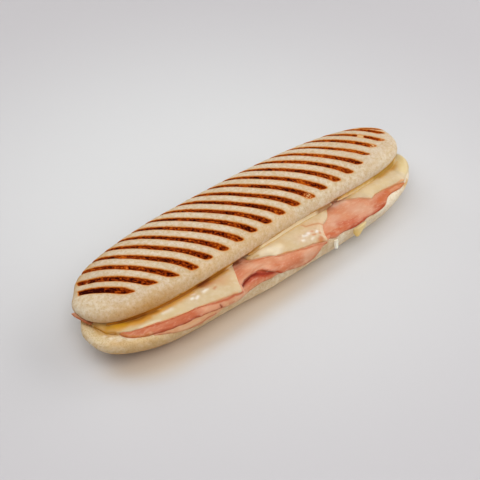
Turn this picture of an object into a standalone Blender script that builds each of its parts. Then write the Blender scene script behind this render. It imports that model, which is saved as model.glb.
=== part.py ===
"""A grilled panini: two halves of a long soft roll with ham and melted cheese between them.

Metres, +Z up, +X along the roll. The roll lies on z = 0. The top half is shifted to the back, so
the filling shows along the front, rolled down over the bottom half's rim. Slices are laid out flat
in plan, and drape() carries each point onto the bottom half: along its upper face, and then over
the rim and down the wall.
"""

import math

import bmesh
import bpy
import numpy as np

# Driving dimensions: the roll
ROLL_LENGTH = 0.260
HALF_LENGTH = ROLL_LENGTH / 2
GAP = 0.0005  # between a piece and the bread it touches
MILLIMETRE = 0.001

BOTTOM_PLACE = (-0.0028, -0.0089)  # middle of the bottom half, in plan
BOTTOM_WIDTH = 0.065
BOTTOM_HEIGHT = 0.0198
BOTTOM_SQUARENESS = 2.55  # power of the plan outline: 2 is an ellipse
BOTTOM_FRONT = (0.031, 0.083, -0.016, -0.029)  # lean, waist, sway and ripple of the front edge
BOTTOM_BACK = (0, 0, 0, 0)
RIM_RADIUS = 0.0032  # the soft edge round the cut face
RIM_SPINE = 0.098  # the outline is drawn in towards the line between x = -spine and +spine
BASE_SPINE = 0.040
BASE_SHARE = 0.50  # the flat that rests on the table, as a share of the width
WALL_POWERS = (1.8, 1.5)

TOP_PLACE = (0.0027, 0.0079)
TOP_WIDTH = 0.0672
TOP_SQUARENESS = 2.48
TOP_FRONT = (0.004, 0.204, 0.006, 0.013)
TOP_BACK = (-0.115, -0.004, 0, 0)
TOP_EDGE_HEIGHT = 0.0262  # height of the widest line
DOME_HEIGHT = 0.0127
DOME_END_POWER = 3.1
DOME_POWERS = (2.16, 2.26)
DOME_TILT = (-0.48, -0.37, 0.16)  # degrees about X, Y and Z
EDGE_ROLL = (0.0022, 0.0016)  # how far the lower edge turns in and down

# Driving dimensions: the grill's marks
MARK_COUNT = 21
MARK_PITCH = 0.0099
MARK_WIDTH = 0.0044
MARK_DEPTH = 0.0007
MARK_TURN = math.radians(53.0)  # from +Y to the line square to the marks
MARK_START = 0.0069  # where the middle mark crosses that line
LAST_MARK_SHIFT = -0.006  # the far end's mark lies closer to its neighbour
LAST_MARK_WIDTH = 0.0024
PRESS_SHARE = 0.57  # the grill touched the crust above this share of the crest's height
PRESS_LEAN = 0.04
PRESS_END_RISE = 0.42

# Driving dimensions: the filling
HAM = 0.0011
SLICE_GAP = 0.00065  # between slices
RIM_CLEARANCE = 0.00025  # more gap where slices turn over the front rim
CHEESE_LEFT = 0.0016
CHEESE_MIDDLE = 0.0022
CHEESE_RIGHT = 0.0026
DRIP = 0.0014
DROOP_ANGLE = 1.45  # where a slice stops turning over the rim and hangs straight
SOFT_STEP = 0.008  # length over which a slice climbs onto what is under it
SINK_LENGTH = 0.006
LOWER_SLICES = ((-103.5, -53.5, -60, -16.5), (-51.5, -6.5, -60, -17))  # millimetres in plan
CHEESE_CORNER = (-0.0389, -0.0276)  # where the left cheese's straight right edge starts
CHEESE_SLANT = 0.593  # how far that edge runs right for each step to the back
ARCH_MIDDLE = 0.0152  # from that edge
ARCH_HALF_SPAN = 0.0145
ARCH_BACK = -0.0195
ARCH_DEPTH = 0.007
ARCH_RISE = 0.0024

BOTTOM_SEGMENTS = 80
WALL_RINGS = 7
EDGE_TURNS = 3  # steps round a soft edge
TOP_STATIONS = 44
DOME_STEPS = 14  # from the dome's back edge to its front edge
FRONT_ROWS = 9  # a large slice's rows that lie close together, where it turns over the rim
BACK_ROWS = 2
FRONT_SHARE = 0.30


def clear_scene():
    for obj in list(bpy.data.objects):
        bpy.data.objects.remove(obj, do_unlink=True)


def material(name, colour, roughness):
    """A plain finish: sRGB colour, roughness."""
    finish = bpy.data.materials.new(name)
    finish.use_nodes = True
    shader = finish.node_tree.nodes["Principled BSDF"]
    linear = [((c + 0.055) / 1.055) ** 2.4 if c > 0.04045 else c / 12.92 for c in colour]
    shader.inputs["Base Color"].default_value = (*linear, 1)
    shader.inputs["Roughness"].default_value = roughness
    finish.diffuse_color = (*linear, 1)
    return finish


def smooth_step(value):
    t = np.clip(value, 0, 1)
    return t * t * (3 - 2 * t)


# The roll's outline


def side_factor(s, swell):
    """How far the real edge departs from the plain outline, along the roll from s = -1 to 1."""
    lean, waist, sway, ripple = swell
    return (
        1
        + lean * s
        + waist * (2 * s**2 - 1)
        + sway * (4 * s**3 - 3 * s)
        + ripple * (8 * s**4 - 8 * s**2 + 1)
    )


def half_width(s, width, squareness, swell):
    plain = width / 2 * np.clip(1 - np.abs(s) ** squareness, 0, 1) ** (1 / squareness)
    return plain * side_factor(s, swell)


def drawn_in(point, spine, share, inset):
    """The outline's point moved towards the spine: to a share of its distance, less an inset."""
    foot = np.array((np.clip(point[0], -spine, spine), 0.0))
    away = point - foot
    distance = np.hypot(*away)
    if distance < 1e-9:
        return foot
    return foot + away / distance * (distance * share - inset)


def ringed_solid(name, segments, rings):
    """A closed solid from a sphere whose rings of points take new places, from pole to pole.

    Each ring is a function that gives the place of its step 0, 1, 2 and so on round the sphere.
    """
    mesh = bpy.data.meshes.new(name)
    bm = bmesh.new()
    bmesh.ops.create_uvsphere(bm, u_segments=segments, v_segments=len(rings) - 1, radius=1)
    for vert in bm.verts:
        latitude = math.asin(max(-1, min(1, vert.co.z)))
        ring = round((latitude / math.pi + 0.5) * (len(rings) - 1))
        step = round(math.atan2(vert.co.y, vert.co.x) / (2 * math.pi) * segments)
        vert.co = rings[ring](step % segments)
    bmesh.ops.triangulate(bm, faces=bm.faces)
    bm.to_mesh(mesh)
    bm.free()
    mesh.shade_smooth()
    mesh.set_sharp_from_angle(angle=math.radians(40))
    return bpy.data.objects.new(name, mesh)


# The two halves of the roll


def bottom_outline(azimuth):
    """The bottom half's plan outline at an angle, about its middle."""
    s = math.copysign(abs(math.cos(azimuth)) ** (2 / BOTTOM_SQUARENESS), math.cos(azimuth))
    swell = BOTTOM_FRONT if math.sin(azimuth) < 0 else BOTTOM_BACK
    reach = half_width(s, BOTTOM_WIDTH, BOTTOM_SQUARENESS, swell)
    return np.array((s * HALF_LENGTH, math.copysign(reach, math.sin(azimuth))))


def wall_ring(u):
    """A level of the wall: u is 0 at the flat base and 1 at the widest line."""
    flare, bulge = WALL_POWERS
    height = (BOTTOM_HEIGHT - RIM_RADIUS) * (1 - (1 - u**flare) ** (1 / bulge))

    def ring(step):
        widest = bottom_outline(2 * math.pi * step / BOTTOM_SEGMENTS)
        base = drawn_in(widest, BASE_SPINE, BASE_SHARE, 0)
        return (*(base + (widest - base) * u), height)

    return ring


def rim_ring(turn):
    """A level of the rounded rim: turn is 0 at the widest line and a quarter turn at the cut."""
    inset = RIM_RADIUS * (1 - math.cos(turn))
    height = BOTTOM_HEIGHT - RIM_RADIUS + RIM_RADIUS * math.sin(turn)

    def ring(step):
        widest = bottom_outline(2 * math.pi * step / BOTTOM_SEGMENTS)
        return (*drawn_in(widest, RIM_SPINE, 1, inset), height)

    return ring


def quarter_turns(steps):
    return [math.pi / 2 * k / steps for k in range(1, steps + 1)]


def bread_bottom():
    walls = [wall_ring(math.sin(turn)) for turn in (0, *quarter_turns(WALL_RINGS))]
    rims = [rim_ring(turn) for turn in quarter_turns(EDGE_TURNS)]
    low, high = (lambda step: (0, 0, 0)), (lambda step: (0, 0, BOTTOM_HEIGHT))
    half = ringed_solid("bread_bottom", BOTTOM_SEGMENTS, [low, *walls, *rims, high])
    half.location = (*BOTTOM_PLACE, 0)
    return half


def crest_height(s):
    return DOME_HEIGHT * (1 - np.abs(s) ** DOME_END_POWER) ** (1 / DOME_END_POWER)


def dome_height(x, y):
    """The crust's height over the widest line, at a plan point about the top half's middle."""
    s = np.clip(x / HALF_LENGTH, -1, 1)
    front = half_width(s, TOP_WIDTH, TOP_SQUARENESS, TOP_FRONT)
    back = half_width(s, TOP_WIDTH, TOP_SQUARENESS, TOP_BACK)
    t = np.clip(np.abs(y) / np.maximum(np.where(y < 0, front, back), 1e-9), 0, 1)
    rise, fall = DOME_POWERS
    return crest_height(s) * (1 - t**rise) ** (1 / fall)


def top_station(s):
    """The ring of points round the top half at s, from the back edge over the dome."""
    reaches = [
        half_width(s, TOP_WIDTH, TOP_SQUARENESS, swell) for swell in (TOP_FRONT, TOP_BACK)
    ]
    points = []
    for k in range(DOME_STEPS + 1):
        t = math.cos(math.pi * k / DOME_STEPS)
        y = t * reaches[t > 0]
        height = 0 if k in (0, DOME_STEPS) else float(dome_height(s * HALF_LENGTH, y))
        points.append((s * HALF_LENGTH, y, height))
    turn_in, turn_down = EDGE_ROLL
    for side, turns in ((-1, quarter_turns(EDGE_TURNS)), (1, quarter_turns(EDGE_TURNS)[::-1])):
        widest = np.array((s * HALF_LENGTH, side * reaches[side > 0]))
        for turn in turns:
            edge = drawn_in(widest, RIM_SPINE, 1, turn_in * (1 - math.cos(turn)))
            points.append((*edge, -turn_down * math.sin(turn)))
    return points.__getitem__


def bread_top():
    """Its rings are stations along the roll, from one tip to the other."""
    stations = [-math.cos(math.pi * k / TOP_STATIONS) for k in range(1, TOP_STATIONS)]
    tips = (lambda step: (-HALF_LENGTH, 0, 0)), (lambda step: (HALF_LENGTH, 0, 0))
    rings = [tips[0], *(top_station(s) for s in stations), tips[1]]
    return ringed_solid("bread_top", DOME_STEPS + 1 + 2 * EDGE_TURNS, rings)


def place_top(obj):
    obj.location = (*TOP_PLACE, TOP_EDGE_HEIGHT)
    obj.rotation_euler = [math.radians(angle) for angle in DOME_TILT]


# Sheets: grill ribs and slices


def add_sheet(bm, columns, rows, place):
    """A grid whose points go where place(u, v) says, u and v from 0 to 1; facing up."""
    made = bmesh.ops.create_grid(bm, x_segments=columns, y_segments=rows, size=1)
    for vert in made["verts"]:
        vert.co = place((vert.co.x + 1) / 2, (vert.co.y + 1) / 2)


def sheet_object(name, thickness, sheets):
    """One object of all the sheets, each given as columns, rows and place, thickened upwards."""
    mesh = bpy.data.meshes.new(name)
    bm = bmesh.new()
    for columns, rows, place in sheets:
        add_sheet(bm, columns, rows, place)
    bmesh.ops.triangulate(bm, faces=bm.faces)
    bm.to_mesh(mesh)
    bm.free()
    mesh.shade_smooth()
    mesh.set_sharp_from_angle(angle=math.radians(40))
    sheet = bpy.data.objects.new(name, mesh)
    thicken = sheet.modifiers.new("thickness", "SOLIDIFY")
    thicken.thickness = thickness
    thicken.offset = 1
    return sheet


def mark_strip(number):
    """The floor of one groove: a strip that follows the dome where the grill pressed it."""
    across = np.array((math.sin(MARK_TURN), math.cos(MARK_TURN)))
    along = np.array((math.cos(MARK_TURN), -math.sin(MARK_TURN)))
    offset = MARK_START + (number - (MARK_COUNT - 1) / 2) * MARK_PITCH
    width = MARK_WIDTH
    if number == MARK_COUNT - 1:
        offset += LAST_MARK_SHIFT
        width = LAST_MARK_WIDTH
    middle = across * offset
    reach = np.linspace(-HALF_LENGTH, HALF_LENGTH, 1200)
    line = middle + along * reach[:, None]
    s = np.clip(line[:, 0] / HALF_LENGTH, -0.99, 0.99)
    share = PRESS_SHARE + PRESS_LEAN * s + PRESS_END_RISE * np.abs(s) ** 2.5
    first, last = reach[dome_height(*line.T) > share * crest_height(s)][[0, -1]]

    def place(u, v):
        toward_end = abs(2 * u - 1)
        half = width / 2 * max(0.3, math.sqrt(1 - toward_end**8))
        x, y = middle + along * (first + (last - first) * u) + across * (2 * v - 1) * half
        sink = MARK_DEPTH * (1 - 1.3 * toward_end**6)
        return (x, y, float(dome_height(x, y)) - sink)

    return place


def grill_ribs():
    strips = [(9, 1, mark_strip(number)) for number in range(MARK_COUNT)]
    return sheet_object("grill_ribs", 0.004, strips)


# Draping over the bottom half. Plan points are about the bottom half's middle.


def end_reaches():
    """For each end of the bottom half: the outline's distance from the spine's end, by angle."""
    found = {}
    for sign in (-1, 1):
        azimuths = np.linspace(-math.pi / 2, math.pi / 2, 721)
        if sign < 0:
            azimuths = math.pi - azimuths
        points = np.array([bottom_outline(azimuth) for azimuth in azimuths])
        away = points - (sign * RIM_SPINE, 0)
        beyond = sign * away[:, 0] > -1e-4
        angles = np.arctan2(away[beyond, 1], sign * away[beyond, 0])
        order = np.argsort(angles)
        found[sign] = (angles[order], np.hypot(*away[beyond].T)[order])
    return found


END_REACHES = end_reaches()


def outline_reach(foot, away):
    """The outline's distance from the spine's point foot, in the direction away."""
    if abs(foot) < RIM_SPINE:
        swell = BOTTOM_FRONT if away[1] < 0 else BOTTOM_BACK
        return half_width(foot / HALF_LENGTH, BOTTOM_WIDTH, BOTTOM_SQUARENESS, swell)
    sign = 1 if foot > 0 else -1
    return np.interp(math.atan2(away[1], sign * away[0]), *END_REACHES[sign])


def drape(x, y, lift):
    """A flat plan point laid on the bottom half and over its rim, lift above the bread."""
    foot = np.array((np.clip(x, -RIM_SPINE, RIM_SPINE), 0.0))
    away = np.array((x, y)) - foot
    distance = max(np.hypot(*away), 1e-9)
    away /= distance
    reach = outline_reach(foot[0], away)
    over = distance - (reach - RIM_RADIUS)
    lift += RIM_CLEARANCE * smooth_step(1 + over / RIM_RADIUS) * max(0, -away[1])
    height = BOTTOM_HEIGHT + lift
    if over > 0:
        turn = min(over / RIM_RADIUS, DROOP_ANGLE)
        hang = over - turn * RIM_RADIUS
        radius = RIM_RADIUS + lift
        distance = reach - RIM_RADIUS + radius * math.sin(turn) + hang * math.cos(turn)
        height = BOTTOM_HEIGHT - RIM_RADIUS + radius * math.cos(turn) - hang * math.sin(turn)
    return (*(foot + away * distance), height)


def smooth_curve(points):
    """A function of 0 to 1 that runs smoothly through the points, evenly by distance."""
    points = np.array(points, float) * MILLIMETRE
    padded = np.vstack((2 * points[0] - points[1], points, 2 * points[-1] - points[-2]))
    t = np.linspace(0, 1, 13)[:-1, None]
    pieces = []
    for a, b, c, d in zip(padded, padded[1:], padded[2:], padded[3:]):
        slope = (c - a) * t
        bend = (2 * a - 5 * b + 4 * c - d) * t**2
        turn = (3 * b - a - 3 * c + d) * t**3
        pieces.append((2 * b + slope + bend + turn) / 2)
    path = np.vstack((*pieces, points[-1]))
    length = np.concatenate(([0], np.cumsum(np.hypot(*np.diff(path, axis=0).T))))
    length /= length[-1]
    return lambda u: np.array((np.interp(u, length, path[:, 0]), np.interp(u, length, path[:, 1])))


def flat_patch(front, back, left=(), right=()):
    """The plan inside four edges. Front and back run from left to right, left and right to the back."""
    front_edge = smooth_curve(front)
    back_edge = smooth_curve(back)
    left_edge = smooth_curve([front[0], *left, back[0]])
    right_edge = smooth_curve([front[-1], *right, back[-1]])
    corners = np.array((front[0], front[-1], back[0], back[-1]), float) * MILLIMETRE

    def place(u, v):
        between_sides = (1 - u) * left_edge(v) + u * right_edge(v)
        between_ends = (1 - v) * front_edge(u) + v * back_edge(u)
        low = (1 - u) * corners[0] + u * corners[1]
        high = (1 - u) * corners[2] + u * corners[3]
        return between_sides + between_ends - (1 - v) * low - v * high

    return place


def crowded_row(v):
    """Evenly spaced rows moved so that most of them lie near the front edge."""
    row = v * (FRONT_ROWS + BACK_ROWS)
    if row <= FRONT_ROWS:
        return FRONT_SHARE * row / FRONT_ROWS
    return FRONT_SHARE + (1 - FRONT_SHARE) * ((row - FRONT_ROWS) / BACK_ROWS) ** 1.3


def laid_sheet(name, thickness, lift, patch, columns, rows, row_place, lay):
    def place(u, v):
        x, y = patch(u, row_place(v))
        return lay(x, y, lift(x, y))

    sheet = sheet_object(name, thickness, [(columns, rows, place)])
    sheet.location = (*BOTTOM_PLACE, 0)
    return sheet


def large_slice(name, thickness, lift, patch, columns=20):
    """A slice that runs through the roll, lying as high above the bread as lift(x, y) says."""
    rows = FRONT_ROWS + BACK_ROWS
    return laid_sheet(name, thickness, lift, patch, columns, rows, crowded_row, drape)


def small_piece(name, thickness, lift, patch, columns, rows, lay=drape):
    """A scrap or drip, with even rows."""
    return laid_sheet(name, thickness, lift, patch, columns, rows, float, lay)


# How high each slice lies


def over_box(x, y, box):
    """1 over a box given as left, right, front and back, fading to 0 across SOFT_STEP round it."""
    left, right, front, back = (edge * MILLIMETRE for edge in box)
    outside = max(left - x, x - right, front - y, y - back)
    return smooth_step(1 - outside / SOFT_STEP)


def ham_lift(x, y):
    """Ham lies on the bread, or on a lower slice."""
    under = max(over_box(x, y, box) for box in LOWER_SLICES)
    return GAP + (HAM + SLICE_GAP) * under


def ham_middle_lift(x, y):
    """The middle slice arches up off the lower one and leaves a hollow at the front."""
    beyond_cheese = x - CHEESE_CORNER[0] - CHEESE_SLANT * (y - CHEESE_CORNER[1])
    along = smooth_step(1 - abs(beyond_cheese - ARCH_MIDDLE) / ARCH_HALF_SPAN)
    to_front = smooth_step((ARCH_BACK - y) / ARCH_DEPTH)
    return ham_lift(x, y) + ARCH_RISE * along * to_front


def cheese_left_lift(x, y):
    """Cheese on ham, sinking to the bread past the ham's slanted left end."""
    ham_end = -0.1156 + 0.39 * (y + 0.0094)
    sunk = smooth_step((ham_end - 0.0005 - x) / SINK_LENGTH)
    return ham_lift(x, y) + (HAM + SLICE_GAP) * (1 - sunk)


def cheese_middle_lift(x, y):
    return ham_lift(x, y) + HAM + SLICE_GAP


def cheese_right_lift(x, y):
    """Cheese on ham, sinking to the bread past the ham's slanted right end."""
    ham_end = 0.1120 - 0.29 * (y + 0.0209)
    sunk = smooth_step((x - ham_end - 0.0007) / SINK_LENGTH)
    return ham_lift(x, y) + (HAM + SLICE_GAP) * (1 - sunk)


def on_bread(x, y):
    return GAP


def on_cheese(x, y):
    return GAP + CHEESE_LEFT + GAP


# The slices. Edges are plan millimetres about the bottom half's middle, with the bread unrolled.


def ham_slices():
    left = flat_patch(
        front=[
            (-115.6, -9.4), (-113.5, -15.8), (-109.9, -19.5), (-101.1, -23.3), (-86.8, -25.9),
            (-71.2, -27.4), (-55.0, -28.0), (-39.1, -28.0),
        ],
        back=[(-108, 10), (-96, 18), (-72, 25), (-46, 28.5), (-14.2, 28)],
    )
    left_lower = flat_patch(
        front=[
            (-100.5, -23.0), (-87.6, -28.0), (-82.4, -29.4), (-74.5, -32.0), (-69.5, -30.6),
            (-62.0, -29.9), (-55.7, -29.5),
        ],
        back=[(-98, -19.5), (-58, -20)],
    )
    middle = flat_patch(
        front=[
            (-37.6, -26.6), (-30.1, -25.6), (-17.1, -26.7), (-7.8, -29.5), (0.9, -32.2),
            (5.5, -33.5), (12.5, -33.4), (19.6, -32.7), (23.5, -30.4), (31.0, -29.2),
        ],
        back=[(-12.3, 29), (8, 28.0), (28, 29.2), (46, 28)],
        right=[(36, -18)],
    )
    middle_lower = flat_patch(
        front=[(-50.0, -29.2), (-37.6, -28.8), (-25.8, -28.7), (-14.0, -29.2), (-8.4, -29.4)],
        back=[(-48, -20.5), (-10, -20)],
    )
    right = flat_patch(
        front=[
            (34.2, -28.6), (38.6, -30.1), (48.4, -30.0), (56.5, -30.6), (69.9, -29.9),
            (79.6, -29.9), (86.5, -28.4), (91.0, -26.6), (96.8, -24.0), (104.8, -23.9),
            (112.0, -20.9),
        ],
        back=[(61, 28), (78, 25.5), (92, 20.5), (101, 16)],
        left=[(37.5, -24.4), (41.8, -17.6), (48.4, -15.0), (55.8, -6.8), (59, 6)],
    )
    scrap = flat_patch(
        front=[(-125.2, 21.5), (-125.4, 18.0), (-124.8, 14.0), (-124.0, 9.0), (-123.4, 4.5)],
        back=[(-119.0, 20.0), (-117.2, 16.0), (-117.2, 11.0), (-118.5, 5.5)],
    )
    return [
        large_slice("ham_left", HAM, ham_lift, left),
        small_piece("ham_left_lower", HAM, on_bread, left_lower, columns=16, rows=5),
        large_slice("ham_middle", HAM, ham_middle_lift, middle, columns=24),
        small_piece("ham_middle_lower", HAM, on_bread, middle_lower, columns=14, rows=4),
        large_slice("ham_right", HAM, ham_lift, right, columns=24),
        small_piece("ham_scrap", HAM, on_cheese, scrap, columns=8, rows=3, lay=flat_lay),
    ]


def flat_lay(x, y, lift):
    return (x, y, BOTTOM_HEIGHT + lift)


def cheese_slices():
    left = flat_patch(
        front=[
            (-123.7, 5.7), (-122.6, 1.0), (-122.4, -4.6), (-120.2, -8.6), (-115.4, -10.2),
            (-107.6, -14.2), (-90.6, -19.8), (-69.7, -23.5), (-54.0, -26.2), (-38.9, -27.6),
        ],
        back=[(-113, 15), (-96, 20.5), (-70, 26), (-40, 29), (-5.6, 28.5)],
        left=[(-119.5, 11.5)],
    )
    middle = flat_patch(
        front=[
            (-27.5, -10.3), (-20.6, -14.2), (-10.9, -19.3), (3.2, -24.1), (11.3, -26.4),
            (19.9, -27.9), (31.8, -28.6),
        ],
        back=[(-4.2, 28.5), (18, 29.2), (40, 29), (60, 27)],
        right=[(34.3, -25.7), (39.4, -18.6), (49.1, -13.1), (53.6, -8.8), (58.5, -3), (60.5, 6)],
    )
    right = flat_patch(
        front=[
            (64.1, -8.2), (72.1, -14.5), (81.3, -21.3), (85.4, -20.0), (95.8, -20.7),
            (107.5, -21.9), (112.9, -20.9), (121.0, -15.5), (125.3, -8.8), (127.1, -1.2),
        ],
        back=[(61.5, 26.5), (82, 24), (101, 19), (115, 13.5), (123.5, 6.5)],
        left=[(62.5, -4.5), (61.8, 6)],
    )
    drip = flat_patch(
        front=[(55.2, -34.6), (57.9, -38.4), (62.8, -35.4), (66.5, -33.0)],
        back=[(54.8, -31.2), (60.5, -31.2), (66.4, -31.0)],
    )
    shred = flat_patch(
        front=[(38.3, -37.4), (40.9, -38.4)],
        back=[(38.0, -31.0), (41.2, -31.2)],
    )
    return [
        large_slice("cheese_left", CHEESE_LEFT, cheese_left_lift, left),
        large_slice("cheese_middle", CHEESE_MIDDLE, cheese_middle_lift, middle),
        large_slice("cheese_right", CHEESE_RIGHT, cheese_right_lift, right),
        small_piece("cheese_drip", DRIP, on_bread, drip, columns=8, rows=5),
        small_piece("cheese_shred", DRIP, on_bread, shred, columns=3, rows=6),
    ]


def add_to(collection, finish, objects):
    for obj in objects:
        obj.data.materials.append(finish)
        collection.objects.link(obj)


def build():
    clear_scene()
    part = bpy.data.collections.new("panini")
    cutters = bpy.data.collections.new("cutters")
    for collection in (part, cutters):
        bpy.context.scene.collection.children.link(collection)

    crust = material("toasted_crust", (0.87, 0.76, 0.60), 0.75)
    ham = material("cooked_ham", (0.85, 0.52, 0.45), 0.40)
    cheese = material("melted_cheese", (0.93, 0.85, 0.62), 0.35)
    steel = material("grill_steel", (0.3, 0.3, 0.3), 0.5)

    top = bread_top()
    ribs = grill_ribs()
    for obj in (top, ribs):
        place_top(obj)
    add_to(part, crust, [bread_bottom(), top])
    add_to(part, ham, ham_slices())
    add_to(part, cheese, cheese_slices())
    add_to(cutters, steel, [ribs])
    ribs.hide_render = True
    ribs.display_type = "WIRE"
    press = top.modifiers.new("grill marks", "BOOLEAN")
    press.operation = "DIFFERENCE"
    press.object = ribs
    press.use_self = True  # the last two ribs lie against each other


build()
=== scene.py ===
import functools
import math

import bpy
import numpy as np
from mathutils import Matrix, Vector


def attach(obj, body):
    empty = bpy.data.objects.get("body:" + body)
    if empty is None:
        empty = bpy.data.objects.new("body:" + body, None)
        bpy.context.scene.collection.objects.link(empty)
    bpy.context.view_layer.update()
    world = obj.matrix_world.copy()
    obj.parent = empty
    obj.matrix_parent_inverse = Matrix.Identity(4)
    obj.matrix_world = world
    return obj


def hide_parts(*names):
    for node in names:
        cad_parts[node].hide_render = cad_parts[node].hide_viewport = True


# A grilled ham and cheese panini. Metres, +X along the roll, +Z up, the filling shows towards -Y.

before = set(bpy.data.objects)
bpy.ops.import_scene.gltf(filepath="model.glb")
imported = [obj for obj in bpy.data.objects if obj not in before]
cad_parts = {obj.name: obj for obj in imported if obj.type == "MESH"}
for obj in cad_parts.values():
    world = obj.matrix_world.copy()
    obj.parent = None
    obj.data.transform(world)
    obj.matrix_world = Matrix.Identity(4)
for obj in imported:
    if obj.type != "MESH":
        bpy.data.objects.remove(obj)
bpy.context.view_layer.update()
millimetre = 0.001


# Shared helpers


def smoothStep(value):
    # 3t^2 - 2t^3 between 0 and 1, flat outside
    t = np.clip(value, 0, 1)
    return t * t * (3 - 2 * t)


def latticeNoise(points, cell, seed):
    # Random numbers on a cubic lattice of the given cell, blended by smooth steps: -1 to 1
    table = np.random.default_rng(seed).uniform(-1, 1, (32, 32, 32))
    scaled = np.asarray(points, float) / cell
    base = np.floor(scaled).astype(int)
    part = smoothStep(scaled - base)
    total = np.zeros(scaled.shape[:-1])
    for corner in np.ndindex(2, 2, 2):
        share = np.prod(np.where(corner, part, 1 - part), axis=-1)
        total += share * table[tuple(np.moveaxis((base + corner) % 32, -1, 0))]
    return total


def layeredNoise(points, cell, seed, layers=3):
    # Each layer has half the cell and 0.55 of the height of the one before it
    total = 0
    for layer in range(layers):
        total = total + 0.55**layer * latticeNoise(points, cell * 0.5**layer, seed + layer)
    return total


def noiseSum(points, rows):
    # Layered noises added up. Each row is a height, a cell, a seed and, if not three, a number of layers
    return sum(height * layeredNoise(points, *rest) for height, *rest in rows)


def crowdedEnds(count):
    # -1 to 1 with small steps at both ends: q (9 - |q|^8) / 8
    q = np.linspace(-1, 1, count)
    return q * (9 - np.abs(q) ** 8) / 8


def crowdedStart(count, pull):
    # 0 to 1 with small steps at the start: (e^(pull q) - 1) / (e^pull - 1)
    return np.expm1(pull * np.linspace(0, 1, count)) / np.expm1(pull)


def surfaceNormals(grid, wrap):
    # The cross product of the two directions of a grid of points; wrap joins its last column to its first
    if wrap:
        across = np.roll(grid, -1, 1) - np.roll(grid, 1, 1)
    else:
        across = np.gradient(grid, axis=1)
    normals = np.cross(np.gradient(grid, axis=0), across)
    length = np.linalg.norm(normals, axis=-1, keepdims=True)
    return normals / np.maximum(length, 1e-12)


def flatPoints(plan):
    # Plan points with a height of zero
    return np.concatenate((plan, np.zeros((*plan.shape[:-1], 1))), -1)


def lineDistance(plan, line):
    # Millimetres from plan points to the nearest point of a line of plan points in millimetres
    points = plan / millimetre
    corners = [np.array(corner, float) for corner in line]
    nearest = np.full(plan.shape[:-1], np.inf)
    for start, end in zip(corners, corners[1:] or corners):
        along = end - start
        share = np.clip((points - start) @ along / max(along @ along, 1e-9), 0, 1)
        nearest = np.minimum(nearest, np.linalg.norm(points - start - share[..., None] * along, axis=-1))
    return nearest


def fadeFrom(plan, line, width):
    # 1 on a line of plan points in millimetres, fading as e^-(distance / width)^2
    return np.exp(-((lineDistance(plan, line) / width) ** 2))


paintEdge = {"cell": 0.005, "wander": 0.35, "most": 0.9}  # wander as a share of the half width, most in mm


def painted(plan, strokes):
    # Tints laid over one another. Each stroke is a line of plan points, a half width in millimetres, a
    # strength and a colour, and fades out as e^-(distance / half width)^2, with a wandering edge
    flat = flatPoints(plan)
    wander = np.stack([layeredNoise(flat, paintEdge["cell"], seed, 2) for seed in (5, 12)], -1)
    shade = np.zeros((*plan.shape[:-1], 3))
    share = np.zeros(plan.shape[:-1])
    for line, width, strength, tint in strokes:
        shift = wander * min(paintEdge["wander"] * width, paintEdge["most"]) * millimetre
        fade = strength * fadeFrom(plan + shift, line, width)
        shade = shade * (1 - fade[..., None]) + np.array(colour(tint)[:3]) * fade[..., None]
        share = share * (1 - fade) + fade
    return np.concatenate((shade / np.maximum(share, 1e-6)[..., None], share[..., None]), -1)


def bodyFromFaces(name, points, quads, triangles, values, outline=None):
    # A mesh object of quads and triangles, facing out, with a number or a colour per point for each value.
    # Shading is smooth except across edges between two points of the outline
    mesh = bpy.data.meshes.new(name)
    corners = points[quads]
    doubled = np.einsum("ij,ij->", corners[:, 0], np.cross(corners[:, 1], corners[:, 2]))
    doubled += np.einsum("ij,ij->", corners[:, 0], np.cross(corners[:, 2], corners[:, 3]))
    if doubled < 0:
        quads, triangles = quads[:, ::-1], triangles[:, ::-1]
    loops = np.concatenate((quads.ravel(), triangles.ravel()))
    sizes = np.concatenate((np.full(len(quads), 4), np.full(len(triangles), 3)))
    mesh.vertices.add(len(points))
    mesh.vertices.foreach_set("co", points.astype(np.float32).ravel())
    mesh.loops.add(len(loops))
    mesh.loops.foreach_set("vertex_index", loops.astype(np.int32))
    mesh.polygons.add(len(sizes))
    mesh.polygons.foreach_set("loop_start", (np.cumsum(sizes) - sizes).astype(np.int32))
    mesh.update(calc_edges=True)
    mesh.validate()
    mesh.shade_smooth()
    for label, value in values.items():
        kind, field = ("FLOAT", "value") if value.ndim == 1 else ("FLOAT_COLOR", "color")
        attribute = mesh.attributes.new(label, kind, "POINT")
        attribute.data.foreach_set(field, value.astype(np.float32).ravel())
    if outline is not None:
        ends = np.empty(2 * len(mesh.edges), np.int32)
        mesh.edges.foreach_get("vertices", ends)
        sharp = mesh.attributes.new("sharp_edge", "BOOLEAN", "EDGE")
        sharp.data.foreach_set("value", outline[ends.reshape(-1, 2)].all(1))
    piece = bpy.data.objects.new(name, mesh)
    bpy.context.scene.collection.objects.link(piece)
    return piece


def ringedBody(name, rings, values):
    # Closed rings of points, the first and last of which shrink to one point each
    count, steps = rings.shape[:2]
    points = np.concatenate((rings[0, :1], rings[1:-1].reshape(-1, 3), rings[-1, :1]))
    index = 1 + np.arange((count - 2) * steps).reshape(count - 2, steps)
    after = np.roll(index, -1, 1)
    quads = np.stack((index[:-1], after[:-1], after[1:], index[1:]), -1).reshape(-1, 4)
    first = np.stack((np.zeros(steps, int), after[0], index[0]), -1)
    last = np.stack((np.full(steps, len(points) - 1), index[-1], after[-1]), -1)
    flat = {
        label: np.concatenate((value[0, :1], np.concatenate(value[1:-1]), value[-1, :1]))
        for label, value in values.items()
    }
    return bodyFromFaces(name, points, quads, np.concatenate((first, last)), flat)


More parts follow.
